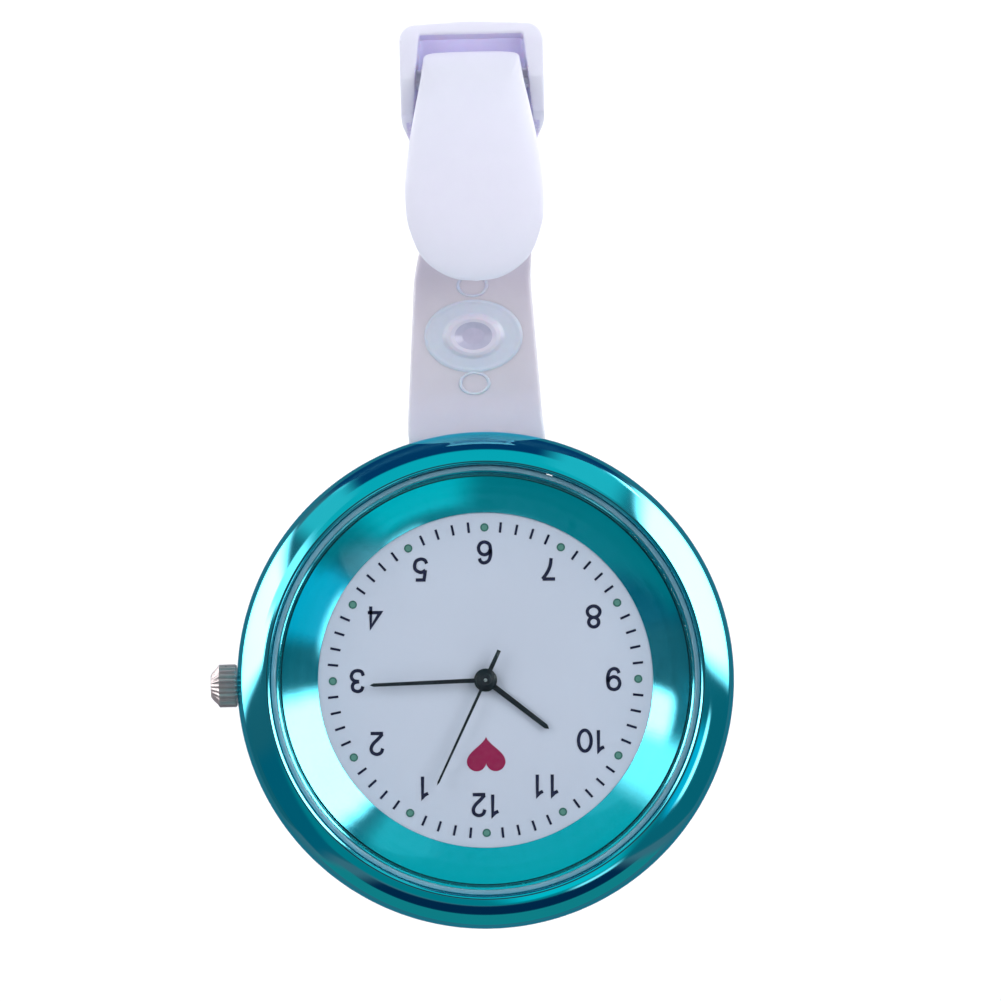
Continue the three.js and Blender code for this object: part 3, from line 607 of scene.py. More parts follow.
def case_back():
    """A pressed-in steel back with two stamped rings."""
    edge, front, depth = round_sizes("case_back")
    half, floor_half, floor = LID["groove"], LID["groove_floor"], depth - LID["groove_depth"]
    corners = [
        (0, front, 0), (edge, front, 0.05), (edge, depth - LID["step"], 0.15),
        (edge - LID["slope"], depth, 0.6),
    ]
    for inwards in LID["grooves"]:
        middle = edge - inwards
        corners += [
            (middle + half, depth, 0.1), (middle + floor_half, floor, 0.1),
            (middle - floor_half, floor, 0.1), (middle - half, depth, 0.1),
        ]
    corners.append((0, depth, 0))
    return head_ring("case_back_lid", corners, STEEL, "case_back", 224)


def strap_bar():
    radius = (BAR_HIGH.z - BAR_LOW.z) / 2 / MM
    pin = rod(radius, BAR_LOW.x / MM, BAR_HIGH.x / MM, BAR_MIDDLE.y, BAR_MIDDLE.z)
    return settle(make_piece("strap_bar_pin", pin, [STEEL]), "case", ["strap_bar"])


bezel()
reflector()
crystal()
crystal_gasket()
case_body()
case_back()
strap_bar()

# ---- dial and its printing

DIAL_RADIUS, DIAL_FACE, DIAL_REAR = round_sizes("dial")
DIAL_HOLE = 0.9
PRINT_THICKNESS = 0.015
PRINT_LIFT = 0.012
PRINT_LEVEL = DIAL_FACE - PRINT_LIFT - PRINT_THICKNESS
TICK_INNER = 13.4
TICK_OUTER = 14.35
TICK_WIDTH = 0.22
DOT_AT = 13.82
DOT_RADIUS = 0.38
DOT_MIDDLE = 0.24
NUMERAL_HEIGHT = 2.2
NUMERAL_WIDTH = 1.45
NUMERAL_GAP = 0.1
NARROW_ONE = 0.2
STROKE = 0.31
NUMERAL_AT = {1: 11.12, 2: 11.4, 6: 11.55, 8: 11.35, 10: 11.1, 11: 11.0, 12: 11.3}
NUMERAL_USUAL = 11.6
SHARPEST_MITRE = 0.45
DIAL_SKEW = 0.85
DIAL_TURN = Matrix.Rotation(math.radians(DIAL_SKEW), 4, "Y")
HEART_AT = 6.95
HEART_SIZE = 3.5
HEART_SPAN = 32
HEART_STEPS = 72


def dial():
    corners = [
        (DIAL_HOLE, DIAL_FACE, 0.03), (DIAL_RADIUS, DIAL_FACE, 0.04), (DIAL_RADIUS, DIAL_REAR, 0.02),
        (DIAL_HOLE, DIAL_REAR, 0.02),
    ]
    return head_ring("dial_plate", corners, DIAL, "dial")


def strip(points, width, closed=False):
    """The two sides of a flat stroke of even width along points. Open ends are cut square."""
    sides = ([], [])
    count = len(points)
    for index, point in enumerate(points):
        before = points[index - 1] if closed or index > 0 else None
        after = points[(index + 1) % count] if closed or index + 1 < count else None
        into = (point - before).normalized() if before is not None else (after - point).normalized()
        out = (after - point).normalized() if after is not None else into
        normal = Vector((-(into.y + out.y), into.x + out.x)).normalized()
        reach = width / 2 / max(SHARPEST_MITRE, normal.dot(Vector((-into.y, into.x))))
        sides[0].append(point + normal * reach)
        sides[1].append(point - normal * reach)
    return sides


def on_dial(shape):
    """Puts printing on the dial, which sits a little askew in its case."""
    shape.transform(DIAL_TURN)
    return in_head(shape)


def print_strip(shape, points, width, front, closed=False):
    """Adds a thin printed stroke to a bmesh, with its face towards the viewer."""
    left, right = strip(points, width, closed)
    near, far = front, front + PRINT_THICKNESS
    edges = [
        [shape.verts.new((p.x, y, p.y)) for p in side]
        for side, y in ((left, near), (right, near), (right, far), (left, far))
    ]
    count = len(points)
    for index in range(count if closed else count - 1):
        nxt = (index + 1) % count
        for a, b in zip(edges, edges[1:] + edges[:1]):
            shape.faces.new((a[index], a[nxt], b[nxt], b[index]))
    if not closed:
        for index in (0, count - 1):
            shape.faces.new([edge[index] for edge in edges])


def print_area(shape, points, front):
    depths = (front, front + PRINT_THICKNESS)
    join_rings(shape, [[shape.verts.new((p.x, y, p.y)) for p in points] for y in depths], True)


def ellipse(centre, reach, steps=36):
    return [
        Vector((centre[0] + reach[0] * math.cos(a), centre[1] + reach[1] * math.sin(a)))
        for a in (2 * math.pi * step / steps for step in range(steps))
    ]


# Each figure is a set of pen strokes in a box 0.5 wide and 1 high: (kind, points).
SIX = [
    (0.46, 0.78), (0.40, 0.94), (0.26, 1), (0.10, 0.90), (0.02, 0.66), (0.01, 0.38), (0.07, 0.10), (0.25, 0),
    (0.42, 0.08), (0.49, 0.30), (0.42, 0.52), (0.26, 0.61), (0.10, 0.53), (0.02, 0.36),
]
STROKES = {
    0: [("oval", (0.25, 0.5, 0.25, 0.5))],
    1: [("line", [(0.08, 0.80), (0.21, 0.88), (0.30, 1), (0.30, 0)])],
    2: [
        ("curve", [
            (0.02, 0.72), (0.09, 0.92), (0.26, 1), (0.43, 0.91), (0.48, 0.72), (0.40, 0.50), (0.20, 0.26),
            (0.03, 0.03),
        ]),
        ("line", [(0.0, 0), (0.5, 0)]),
    ],
    3: [
        ("curve", [
            (0.03, 0.76), (0.10, 0.94), (0.25, 1), (0.40, 0.93), (0.45, 0.76), (0.38, 0.59), (0.18, 0.53),
        ]),
        ("curve", [
            (0.18, 0.53), (0.40, 0.47), (0.49, 0.28), (0.41, 0.07), (0.24, 0), (0.08, 0.06), (0.01, 0.25),
        ]),
    ],
    4: [("line", [(0.38, 0), (0.38, 1), (0, 0.30), (0.5, 0.30)])],
    5: [
        ("line", [(0.45, 1), (0.12, 1), (0.06, 0.53)]),
        ("curve", [
            (0.06, 0.53), (0.16, 0.61), (0.28, 0.63), (0.44, 0.52), (0.49, 0.32), (0.42, 0.09), (0.24, 0),
            (0.08, 0.06), (0.01, 0.22),
        ]),
    ],
    6: [("curve", SIX)],
    7: [("line", [(0, 1), (0.5, 1)]), ("curve", [(0.5, 1), (0.32, 0.70), (0.20, 0.38), (0.15, 0)])],
    8: [("oval", (0.25, 0.77, 0.2, 0.23)), ("oval", (0.25, 0.27, 0.25, 0.27))],
    9: [("curve", [(0.5 - a, 1 - b) for a, b in SIX])],
}
STROKE_STEP = 0.0015


def clock_direction(hour):
    """The direction of an hour on this dial, whose twelve points down for the wearer."""
    angle = math.radians(hour * 30)
    return Vector((-math.sin(angle), -math.cos(angle)))


def pen(points):
    """From the dial's own upright frame to the room, where the dial hangs upside down."""
    return [Vector((-p.x, -p.y)) for p in points]


def figure(shape, digit, origin, level):
    """One figure with its lower left corner at origin. Each stroke is a hair higher than the one before."""
    corner = origin + Vector((STROKE / 2, STROKE / 2))
    wide = 2 * (NUMERAL_WIDTH - STROKE)
    high = NUMERAL_HEIGHT - STROKE
    for kind, points in STROKES[digit]:
        if kind == "oval":
            path = ellipse(points[:2], points[2:])
        elif kind == "curve":
            path = smooth_path(points, 6)
        else:
            path = [Vector(point) for point in points]
        path = [corner + Vector((p.x * wide, p.y * high)) for p in path]
        print_strip(shape, pen(path), STROKE, level, kind == "oval")
        level -= STROKE_STEP
    return level


def numerals():
    shape = bmesh.new()
    for hour in range(1, 13):
        digits = [int(character) for character in str(hour)]
        steps = [NUMERAL_WIDTH + NUMERAL_GAP - (NARROW_ONE if digit == 1 else 0) for digit in digits]
        width = sum(steps) - NUMERAL_GAP
        place = -clock_direction(hour) * NUMERAL_AT.get(hour, NUMERAL_USUAL)
        origin = place - Vector((width / 2, NUMERAL_HEIGHT / 2))
        level = PRINT_LEVEL
        for digit, step in zip(digits, steps):
            level = figure(shape, digit, origin, level)
            origin = origin + Vector((step, 0))
    return settle(make_piece("dial_numerals", on_dial(shape), [NAVY_INK]), "case")


def minute_track():
    ticks = bmesh.new()
    dots = bmesh.new()
    rims = bmesh.new()
    for minute in range(60):
        direction = clock_direction(minute / 5)
        if minute % 5:
            print_strip(ticks, [direction * TICK_INNER, direction * TICK_OUTER], TICK_WIDTH, PRINT_LEVEL)
        else:
            place = direction * DOT_AT
            print_area(rims, ellipse(place, (DOT_RADIUS, DOT_RADIUS), 28), PRINT_LEVEL)
            print_area(dots, ellipse(place, (DOT_MIDDLE, DOT_MIDDLE), 28), PRINT_LEVEL - PRINT_LIFT)
    settle(make_piece("minute_ticks", on_dial(ticks), [NAVY_INK]), "case")
    settle(make_piece("hour_dot_rims", on_dial(rims), [RIM_INK]), "case")
    settle(make_piece("hour_dots", on_dial(dots), [GREEN_INK]), "case")


def heart():
    """A plain printed heart, the right way up for the wearer."""
    points = []
    for step in range(HEART_STEPS):
        t = 2 * math.pi * step / HEART_STEPS
        x = 16 * math.sin(t) ** 3
        y = 13 * math.cos(t) - 5 * math.cos(2 * t) - 2 * math.cos(3 * t) - math.cos(4 * t)
        points.append(Vector((0, HEART_AT)) + Vector((x, y)) * HEART_SIZE / HEART_SPAN)
    shape = bmesh.new()
    print_area(shape, pen(points), PRINT_LEVEL)
    settle(make_piece("dial_heart", on_dial(shape), [CRIMSON_INK]), "case")


dial()
numerals()
minute_track()
heart()

# ---- hands

HAND_BEVEL = 0.04
HANDS = {
    "hour_hand": {
        "front": 3.2, "back": 3.38, "length": 7.25, "root": 0.52, "tip": 0.44, "turn": 308.8, "hub": 1.05,
        "bore": 0.77, "tail": 0.0, "body": "hours", "hub_height": 0.0,
    },
    "minute_hand": {
        "front": 2.86, "back": 3.02, "length": 10.5, "root": 0.41, "tip": 0.31, "turn": 88.7, "hub": 1.05,
        "bore": 0.44, "tail": 0.0, "body": "minutes", "hub_height": 0.0,
    },
    "second_hand": {
        "front": 2.52, "back": 2.66, "length": 10.5, "root": 0.27, "tip": 0.2, "turn": 26.0, "hub": 0.72,
        "bore": 0.16, "tail": 2.96, "body": "seconds", "hub_height": 0.1,
    },
}
POINT_LENGTH = 0.35
TAIL = {"width": 0.4, "start": 0.6, "narrowing": 0.9}
DISH = {"rise": 0.06, "drop": 0.05, "inner": 0.1, "outer": 0.26, "groove": 0.14, "groove_drop": 0.03}


def hand_outline(h):
    """The blade points down, and a tail, if there is one, points up."""
    neck = h["length"] - POINT_LENGTH
    root, tip = h["root"] / 2, h["tip"] / 2
    blade = [(root, 0), (tip, -neck), (0, -h["length"]), (-tip, -neck), (-root, 0)]
    if not h["tail"]:
        return blade
    wide = TAIL["width"] / 2
    thin = wide * TAIL["narrowing"]
    end, start = h["tail"], TAIL["start"]
    return (blade + [(-wide, start), (-thin, end), (thin, end), (wide, start)])[::-1]


def hub_corners(h):
    """The half section of a hub: a raised cap, or a low dished washer."""
    bore, rim, front, back = h["bore"], h["hub"], h["front"], h["back"]
    if h["hub_height"]:
        top = front - h["hub_height"]
        face = [(bore, top, 0.03), (rim * 0.7, top, 0.06), (rim * 0.85, front, 0.05), (rim, front, 0.05)]
    else:
        top = front - DISH["rise"]
        face = [
            (bore, front + DISH["drop"], 0.02), (bore + DISH["inner"], top, 0.03),
            (rim - DISH["outer"], top, 0.05), (rim - DISH["groove"], front + DISH["groove_drop"], 0.05),
            (rim, front, 0.06),
        ]
    return face + [(rim, back, 0.03), (bore, back, 0.02)]


def hand(name):
    """A flat lacquered hand with softened edges and its pressed hub."""
    h = HANDS[name]
    front, back, bore = h["front"], h["back"], h["bore"]
    piece = make_piece(name + "_blade", prism(hand_outline(h), front, back), [BLACK], 30)
    hub = make_piece("tool", lathe(filleted(hub_corners(h), 4), 64), [BLACK], 30)
    combine(piece, hub, "UNION")
    hole = lathe([(0, front - 1), (bore, front - 1), (bore, back + 1), (0, back + 1)], 48)
    combine(piece, tool(hole), "DIFFERENCE")
    piece.data.transform(Matrix.Rotation(math.radians(h["turn"]), 4, "Y"))
    piece.data.transform(Matrix.Translation((CENTRE.x, FRONT_Y, CENTRE.z)))
    soften_edges(piece, HAND_BEVEL, 50)
    return settle(piece, h["body"], [name])


for hand_name in HANDS:
    hand(hand_name)

# ---- crown

FLUTES = 24
FLUTE_STEPS = 8
FLUTE_DEPTH = 0.17
FLUTE_SHAPE = 1.4
CROWN = {"face": 0.98, "chamfer": 0.8, "recess": 1.15, "recess_depth": 1.3, "shift": 0.18}


def crown():
    """A knurled knob with rounded flutes and a smooth turned face."""
    low, high = CROWN_LOW / MM, CROWN_HIGH / MM
    middle = (low + high) / 2
    radius = (high.z - low.z) / 2
    length = high.x - low.x
    chamfer = length - CROWN["chamfer"]
    steps = FLUTES * FLUTE_STEPS
    # Radius, place along the crown, and the share of the flutes' depth.
    profile = [
        (0, 0, 0), (CROWN["recess"], 0, 0), (radius - 0.12, 0, 0.6), (radius, 0.15, 1), (radius, chamfer, 1),
        (radius - 0.3, chamfer + 0.22, 0.8), (CROWN["face"] + 0.25, length - 0.16, 0.25),
        (CROWN["face"], length - 0.02, 0), (0.55, length, 0), (0, length, 0),
    ]
    shape = bmesh.new()
    rings = []
    for r, x, fluted in profile:
        if r == 0:
            rings.append([shape.verts.new((-x, 0, 0))] * steps)
            continue
        ring = []
        for step in range(steps):
            angle = 2 * math.pi * step / steps
            groove = 0.5 - 0.5 * math.cos(FLUTES * angle)
            reach = r - fluted * FLUTE_DEPTH * groove ** FLUTE_SHAPE
            ring.append(shape.verts.new((-x, reach * math.cos(angle), reach * math.sin(angle))))
        rings.append(ring)
    join_rings(shape, rings)
    shape.transform(Matrix.Translation((high.x + CROWN["shift"], middle.y, middle.z)))
    piece = make_piece("crown_knob", shape, [CROWN_STEEL], 40)
    recess = rod(CROWN["recess"], high.x - CROWN["recess_depth"], high.x + 1, middle.y, middle.z)
    combine(piece, tool(recess), "DIFFERENCE")
    shade(piece.data, 28)
    return settle(piece, "crown_turn", ["crown"])


crown()

# ---- clip

CLIP = {
    "half_width": 6.5, "top": 4.65, "shoulder_drop": 0.35, "bottom": -15.1, "plate_back": 1.6, "front": -5.0,
    "waist_half_width": 5.7, "waist_top": -6.0, "arm_bottom": -5.2, "bridge": 1.15, "bridge_back": -2.4,
    "bridge_chin": 3.0, "slot_half_width": 5.0, "slot_top": -12.3, "slot_bottom": -13.7, "corner": 1.5,
}
WINDOW = {"half_width": 4.7, "bend": -2.9, "bevel_front": -5.4}
PIVOT = joint_place("lever_hinge")
CLIP_BAR = joint_place("strap_swing")
CLIP_BAR_RADIUS = 0.7
CLIP_BAR_ROOT = 0.3
TRUNNION_BORE = 1.0
TRUNNION_BORE_END = 6.0
VOXEL = 0.13
MOULD_PASSES = 8
MOULD_SHARE = 0.35
# Which faces of the clip get painted shade as inside walls: how far forwards they reach, and where the
# ceiling and floor end.
PAINTED_SHADE_PLACES = {
    "wall_front": -4.4, "ceiling_front": -4.6, "ceiling_depth": 0.6, "floor_front": -1.5, "floor_half": 6.0,
}


def moulded(piece):
    """Rounds every edge a little, as a mould does, then takes out the points that aren't needed."""
    remesh = piece.modifiers.new("remesh", "REMESH")
    remesh.mode = "VOXEL"
    remesh.voxel_size = VOXEL * MM
    smooth = piece.modifiers.new("smooth", "SMOOTH")
    smooth.iterations = MOULD_PASSES
    thin = piece.modifiers.new("thin", "DECIMATE")
    thin.ratio = MOULD_SHARE
    apply_modifiers(piece)
    piece.data.shade_smooth()


def flare(walls, bevels, back, bend, front):
    """A window cutter: straight walls from back to bend, then widening to the bevels at the front."""
    shape = bmesh.new()
    rings = []
    for wall, y in ((walls, back), (walls, bend), (bevels, front)):
        outline = [(-x, z) for x, z in wall] + [(x, z) for x, z in reversed(wall)]
        rings.append([shape.verts.new((x, y, z)) for x, z in outline])
    return join_rings(shape, rings, True)


def colour_recess(base, ceiling):
    """Paints shade on the clip's inside walls, ceiling and floor by giving them the darker lilac plastic."""
    r = PAINTED_SHADE_PLACES
    base.data.materials.clear()
    for material in (WHITE, RECESS_SHADE):
        base.data.materials.append(material)
    for face in base.data.polygons:
        x, y, z = face.center / MM
        wall = face.normal.x * x < -0.5 * abs(x) and y > r["wall_front"]
        over = face.normal.z < -0.5 and z > ceiling - r["ceiling_depth"] and y > r["ceiling_front"]
        floor = face.normal.y < -0.5 and y > r["floor_front"] and abs(x) < r["floor_half"]
        face.material_index = 1 if wall or over or floor else 0


def clip_base():
    """The spring clip's fixed half: plate, two arms with bevelled insides, front bridge and strap bar."""
    c = CLIP
    w, top, waist = c["half_width"], c["top"], c["waist_half_width"]
    back, front, bottom, arm = c["plate_back"], c["front"], c["bottom"], c["arm_bottom"]
    shoulder = top - c["shoulder_drop"]
    face = filleted([
        (-waist, bottom, 0.6), (waist, bottom, 0.6), (waist, c["waist_top"], 2.0), (w, arm + 1, 2.0),
        (w, shoulder, c["corner"]), (0, top, 20.0), (-w, shoulder, c["corner"]), (-w, arm + 1, 2.0),
        (-waist, c["waist_top"], 2.0),
    ], 8)
    base = make_piece("clip_hoop", prism(face, front, back), [WHITE])
    side = beam([
        (back, bottom), (back, top), (front, top), (front, c["bridge_chin"]),
        (-4.2, PIVOT.z), (-2.6, -3.6), (0, arm), (0, bottom),
    ], w + 1)
    combine(base, tool(side), "INTERSECT")
    half = WINDOW["half_width"]
    ceiling = top - c["bridge"]
    walls = [
        (half, ceiling - 0.38), (half, 2.5), (4.8, 1.9), (4.86, 0.7), (4.98, -1), (5.35, -3.5), (5.7, -6),
    ]
    bevels = [
        (half + 0.05, ceiling), (half + 0.15, 2.6), (4.98, 1.6), (5.12, 0.3), (5.4, -1.2), (5.9, -3.2),
        (6.3, -6),
    ]
    slot_half, slot_bottom = c["slot_half_width"], c["slot_bottom"]
    cuts = [
        flare(walls, bevels, 0, WINDOW["bend"], WINDOW["bevel_front"]),
        slab(half, c["bridge_back"], 0, ceiling - 1, top + 1),
        slab(slot_half, -1, back + 1, slot_bottom, c["slot_top"]),
        rod(TRUNNION_BORE, -TRUNNION_BORE_END, TRUNNION_BORE_END, PIVOT.y, PIVOT.z),
        slab(slot_half, -1, 3, bottom - 1, slot_bottom + 0.01),
    ]
    for shape in cuts:
        combine(base, tool(shape), "DIFFERENCE")
    end = slot_half + CLIP_BAR_ROOT
    combine(base, tool(rod(CLIP_BAR_RADIUS, -end, end, CLIP_BAR.y, CLIP_BAR.z)), "UNION")
    moulded(base)
    # The window's inside faces get painted shade.
    colour_recess(base, ceiling)
    return settle(base, "clip", ["clip_base"])


# The paddle's outline, as (half width, height), and its spine seen from the side, as (height, depth).
PADDLE_OUTLINE = [
    (0, 1.83), (2.6, 1.79), (4.1, 1.58), (4.42, 0.8), (4.72, -1.0), (5.22, -3.4), (5.85, -6.8), (6.22, -10.0),
    (6.2, -12.8), (5.85, -14.5), (5.0, -16.5), (3.7, -17.8), (2.0, -18.65), (0, LEVER_BOTTOM - 0.3),
]
PADDLE_SPINE = [
    (2.3, -5.15), (0.5, -5.6), (-1, -5.8), (-4, -6.3), (-7.5, -6.5), (-11, -6.35), (-14.5, -5.9),
    (-17.5, -5.15), (-18.8, -4.7),
]
PADDLE_RINGS = 26
PADDLE_DROP = 1.05
PADDLE_CROWN = 0.45
PADDLE_ROLL = 7
PADDLE_WALL = 1.45
PADDLE_HOLLOW = 0.15
PADDLE_LIP = 0.12
PADDLE_INSIDE = 0.96
PADDLE_MIDDLE = -8.2
HUB = {
    "radius": 1.6, "half_width": 4.3, "trunnion": 0.9, "trunnion_end": 5.85, "web_depth": 2.0,
    "web_half": 0.9, "toe_half_width": 4.0, "toe_tip": -0.4, "tooth": 0.3, "bevel": 0.08,
}
TOOTH_PLACES = (-0.8, -0.5, -0.25, 0, 0.25, 0.5, 0.8)


def along(knots, at):
    """The value at a height, from (height, value) knots that run downwards, straight between them."""
    for (z0, v0), (z1, v1) in zip(knots, knots[1:]):
        if at >= z1:
            share = min(max((z0 - at) / (z0 - z1), 0), 1)
            return v0 + (v1 - v0) * share
    return knots[-1][1]


def lever_paddle():
    """The domed egg-shaped paddle, with a rolled edge and a hollowed underside."""
    spine = [(p.x, p.y) for p in smooth_path(PADDLE_SPINE)]
    right = smooth_path(PADDLE_OUTLINE, 6)
    left = [Vector((-p.x, p.y)) for p in reversed(right[1:-1])]
    outline = right + left
    shape = bmesh.new()

    def ring(share, depth):
        verts = []
        for p in outline:
            x, z = p.x * share, PADDLE_MIDDLE + (p.y - PADDLE_MIDDLE) * share
            verts.append(shape.verts.new((x, along(spine, z) + depth(share), z)))
        return verts

    def outer(share):
        roll = 1 - (1 - share ** PADDLE_ROLL) ** 0.5
        return PADDLE_CROWN * share ** 2 + (PADDLE_DROP - PADDLE_CROWN) * roll

    def inner(share):
        return PADDLE_WALL - PADDLE_HOLLOW * (1 - share ** 2)

    shares = [1 - (1 - step / PADDLE_RINGS) ** 2 for step in range(1, PADDLE_RINGS + 1)]
    rings = [ring(share, outer) for share in shares]
    rings += [ring(0.995, lambda share: PADDLE_WALL - PADDLE_LIP), ring(0.975, lambda share: PADDLE_WALL)]
    rings += [ring(share * PADDLE_INSIDE, inner) for share in reversed(shares)]
    join_rings(shape, rings)
    count = len(outline)
    for cap, depth in ((rings[0], outer), (rings[-1], inner)):
        top = shape.verts.new((0, along(spine, PADDLE_MIDDLE) + depth(0), PADDLE_MIDDLE))
        for index in range(count):
            shape.faces.new((cap[index], cap[(index + 1) % count], top))
    piece = make_piece("lever_paddle", shape, [WHITE], 60)
    return settle(piece, "lever", ["clip_lever"])


def lever_hub():
    """What the paddle turns on: its trunnions, hub and toothed toe."""
    y, z, half, end, web = PIVOT.y, PIVOT.z, HUB["half_width"], HUB["trunnion_end"], HUB["web_half"]
    toe = [(y, z + TOOTH_PLACES[0])]
    for index, up in enumerate(TOOTH_PLACES):
        toe.append((HUB["toe_tip"] - (0 if index % 2 else HUB["tooth"]), z + up))
    toe.append((y, z + TOOTH_PLACES[-1]))
    hub = make_piece("lever_hub", rod(HUB["radius"], -half, half, y, z), [WHITE])
    parts = [
        rod(HUB["trunnion"], -end, end, y, z),
        slab(half, y - HUB["web_depth"], y, z - web, z + web),
        beam(toe, HUB["toe_half_width"]),
    ]
    for shape in parts:
        combine(hub, tool(shape), "UNION")
    soften_edges(hub, HUB["bevel"], 40)
    return settle(hub, "lever", ["clip_lever"])


clip_base()
lever_paddle()
lever_hub()

# ---- strap

STRAP = {
    "thickness": 0.8, "gap": 0.15, "top_width": 9.5, "neck_width": 10.3, "bottom_width": 12.4,
    "taper_top": -15.2, "taper_neck": -16.2, "taper_bottom": -32.6, "lean": 0.4, "lean_in_case": 0.25,
    "lean_heights": (-15.0, -19.0), "return_heights": (-31.0, -34.0), "run_y": 0.35, "flap_y": 1.3,
    "flap_end": -29.2,
}
CASE_BAR = joint_place("case_swivel")
SNAP_Z = (STUD_LOW.z + STUD_HIGH.z) / 2 / MM
SOCKET_BORE = 1.35
EDGE_RADIUS = 0.26
RIM_RAISE = 0.05
RIM_WIDTH = 0.55
RIM_SLOPE = 0.25
END_PULLS = (0.14, 0.04)
LOOP_RADIUS = CLIP_BAR_RADIUS + STRAP["gap"] + STRAP["thickness"] / 2
EYE_RADIUS = BAR_RADIUS + STRAP["gap"] + STRAP["thickness"] / 2
RUN_FACE = STRAP["run_y"] - STRAP["thickness"] / 2


def between(z, top, bottom):
    """How far z lies between two heights, from 0 at the top to 1 at the bottom."""
    return min(max((top - z) / (top - bottom), 0), 1)


def strap_width(z):
    top, neck, bottom = STRAP["top_width"], STRAP["neck_width"], STRAP["bottom_width"]
    upper = between(z, STRAP["taper_top"], STRAP["taper_neck"])
    lower = between(z, STRAP["taper_neck"], STRAP["taper_bottom"])
    return top + (neck - top) * upper + (bottom - neck) * lower


def strap_middle(z):
    """The soft strap hangs a little to the left of the clip's middle."""
    aside = between(z, *STRAP["lean_heights"])
    back = between(z, *STRAP["return_heights"])
    return (STRAP["lean"] - STRAP["lean_in_case"]) * back - STRAP["lean"] * aside * aside * (3 - 2 * aside)


def round_bar(centre, radius, start, end, steps=18):
    """Path points (y, z) round a bar, from start to end degrees, where 90 is straight up."""
    angles = [math.radians(start + (end - start) * step / steps) for step in range(steps + 1)]
    return [Vector((centre.y + radius * math.cos(a), centre.z + radius * math.sin(a))) for a in angles]


def spaced(a, b, step=0.25):
    """Points from a towards b, b left out."""
    a, b = Vector(a), Vector(b)
    count = max(1, round((b - a).length / step))
    return [a + (b - a) * index / count for index in range(count)]


def ribbon(name, path):
    """A moulded band swept along a (y, z) path. The front face stands slightly proud along its two rims."""
    half = STRAP["thickness"] / 2
    last = len(path) - 1
    shape = bmesh.new()
    rings = []
    for index, point in enumerate(path):
        tangent = (path[min(index + 1, last)] - path[max(index - 1, 0)]).normalized()
        normal = Vector((-tangent.y, tangent.x))
        wide = strap_width(point.y) / 2
        end = min(index, last - index)
        pull = END_PULLS[end] if end < len(END_PULLS) else 0.0
        deep, edge, rim = half - pull, wide - pull, wide - RIM_WIDTH
        section = filleted([
            (-edge, -deep, EDGE_RADIUS), (-rim, -deep, 0), (-rim + RIM_SLOPE, -deep + RIM_RAISE, 0),
            (rim - RIM_SLOPE, -deep + RIM_RAISE, 0), (rim, -deep, 0), (edge, -deep, EDGE_RADIUS),
            (edge, deep, EDGE_RADIUS), (-edge, deep, EDGE_RADIUS),
        ], 5)
        ring = []
        for across, through in section:
            place = point + normal * through
            ring.append(shape.verts.new((across + strap_middle(point.y), place.x, place.y)))
        rings.append(ring)
    return make_piece(name, join_rings(shape, rings, True), [VINYL], 50)


def hang(piece, nodes):
    """Hides the CAD nodes that a soft band stands for and bakes its placement into its mesh."""
    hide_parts(*nodes)
    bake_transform(piece)
    return piece


def strap_run():
    """The long front run, from behind the clip's bar down to the welded loop round the case's bar."""
    y = STRAP["run_y"]
    path = round_bar(CLIP_BAR, LOOP_RADIUS, 0, 188)
    path += spaced(path.pop(), (y - 0.12, -17.6), 0.3)
    path += smooth_path([(y - 0.12, -17.6), (y, -18.7), (y, -20.0)], 5)[:-1]
    path += spaced((y, -20.0), (y, -33.6))
    path += smooth_path([(y, -33.6), (y - 0.25, -34.5)], 4)[:-1]
    path += round_bar(CASE_BAR, EYE_RADIUS, 163, 375, 26)
    path += smooth_path([path.pop(), (1.62, -34.2), (1.22, -33.5), (1.17, -32.9)], 5)
    piece = ribbon("strap_run", path)
    return hang(piece, ["strap", "strap_lower"])


def strap_flap():
    """The short end, folded down behind the run from the clip's bar."""
    y, out = STRAP["flap_y"], CLIP_BAR.y + LOOP_RADIUS
    fold = [(out, CLIP_BAR.z), (out - 0.12, -15.4), (y + 0.1, -17.2), (y, -18.4), (y, -20.0)]
    path = smooth_path(fold)[:-1]
    path += spaced((y, -20.0), (y, STRAP["flap_end"]))
    path.append(Vector((y, STRAP["flap_end"])))
    piece = ribbon("strap_flap_band", path)
    return hang(piece, ["strap_flap"])


def at_snap(shape, height):
    shape.transform(Matrix.Translation((strap_middle(height), 0, height)))
    return shape


SNAP_SEAT = 0.03
SNAP_HEAD_SQUASH = 0.74
# How far out from the snap's middle the dimple's painted shade reaches.
DIMPLE_SHADE_RADIUS = 1.75
STUD_RADIUS = 1.2
STUD_TIP = 1.7
STUD_TIP_RADIUS = 1.05
SOCKET = {"sunk": 0.1, "edge": 0.25, "slope": 0.45, "rim": 2.6, "bowl": 2.3, "bowl_depth": 0.2}
RIDGE = {"inner": 1.1, "outer": 1.48, "slope": 0.1, "sunk": 0.08, "proud": 0.035}
RIDGE_HEIGHTS = {"moulding_ring_top": -19.1, "moulding_ring_low": -28.0}


def squashed(shape):
    """The snap's head and the ridges near it are oval: lower than they are wide."""
    shape.transform(Matrix.Diagonal((1, 1, SNAP_HEAD_SQUASH, 1)))
    return shape


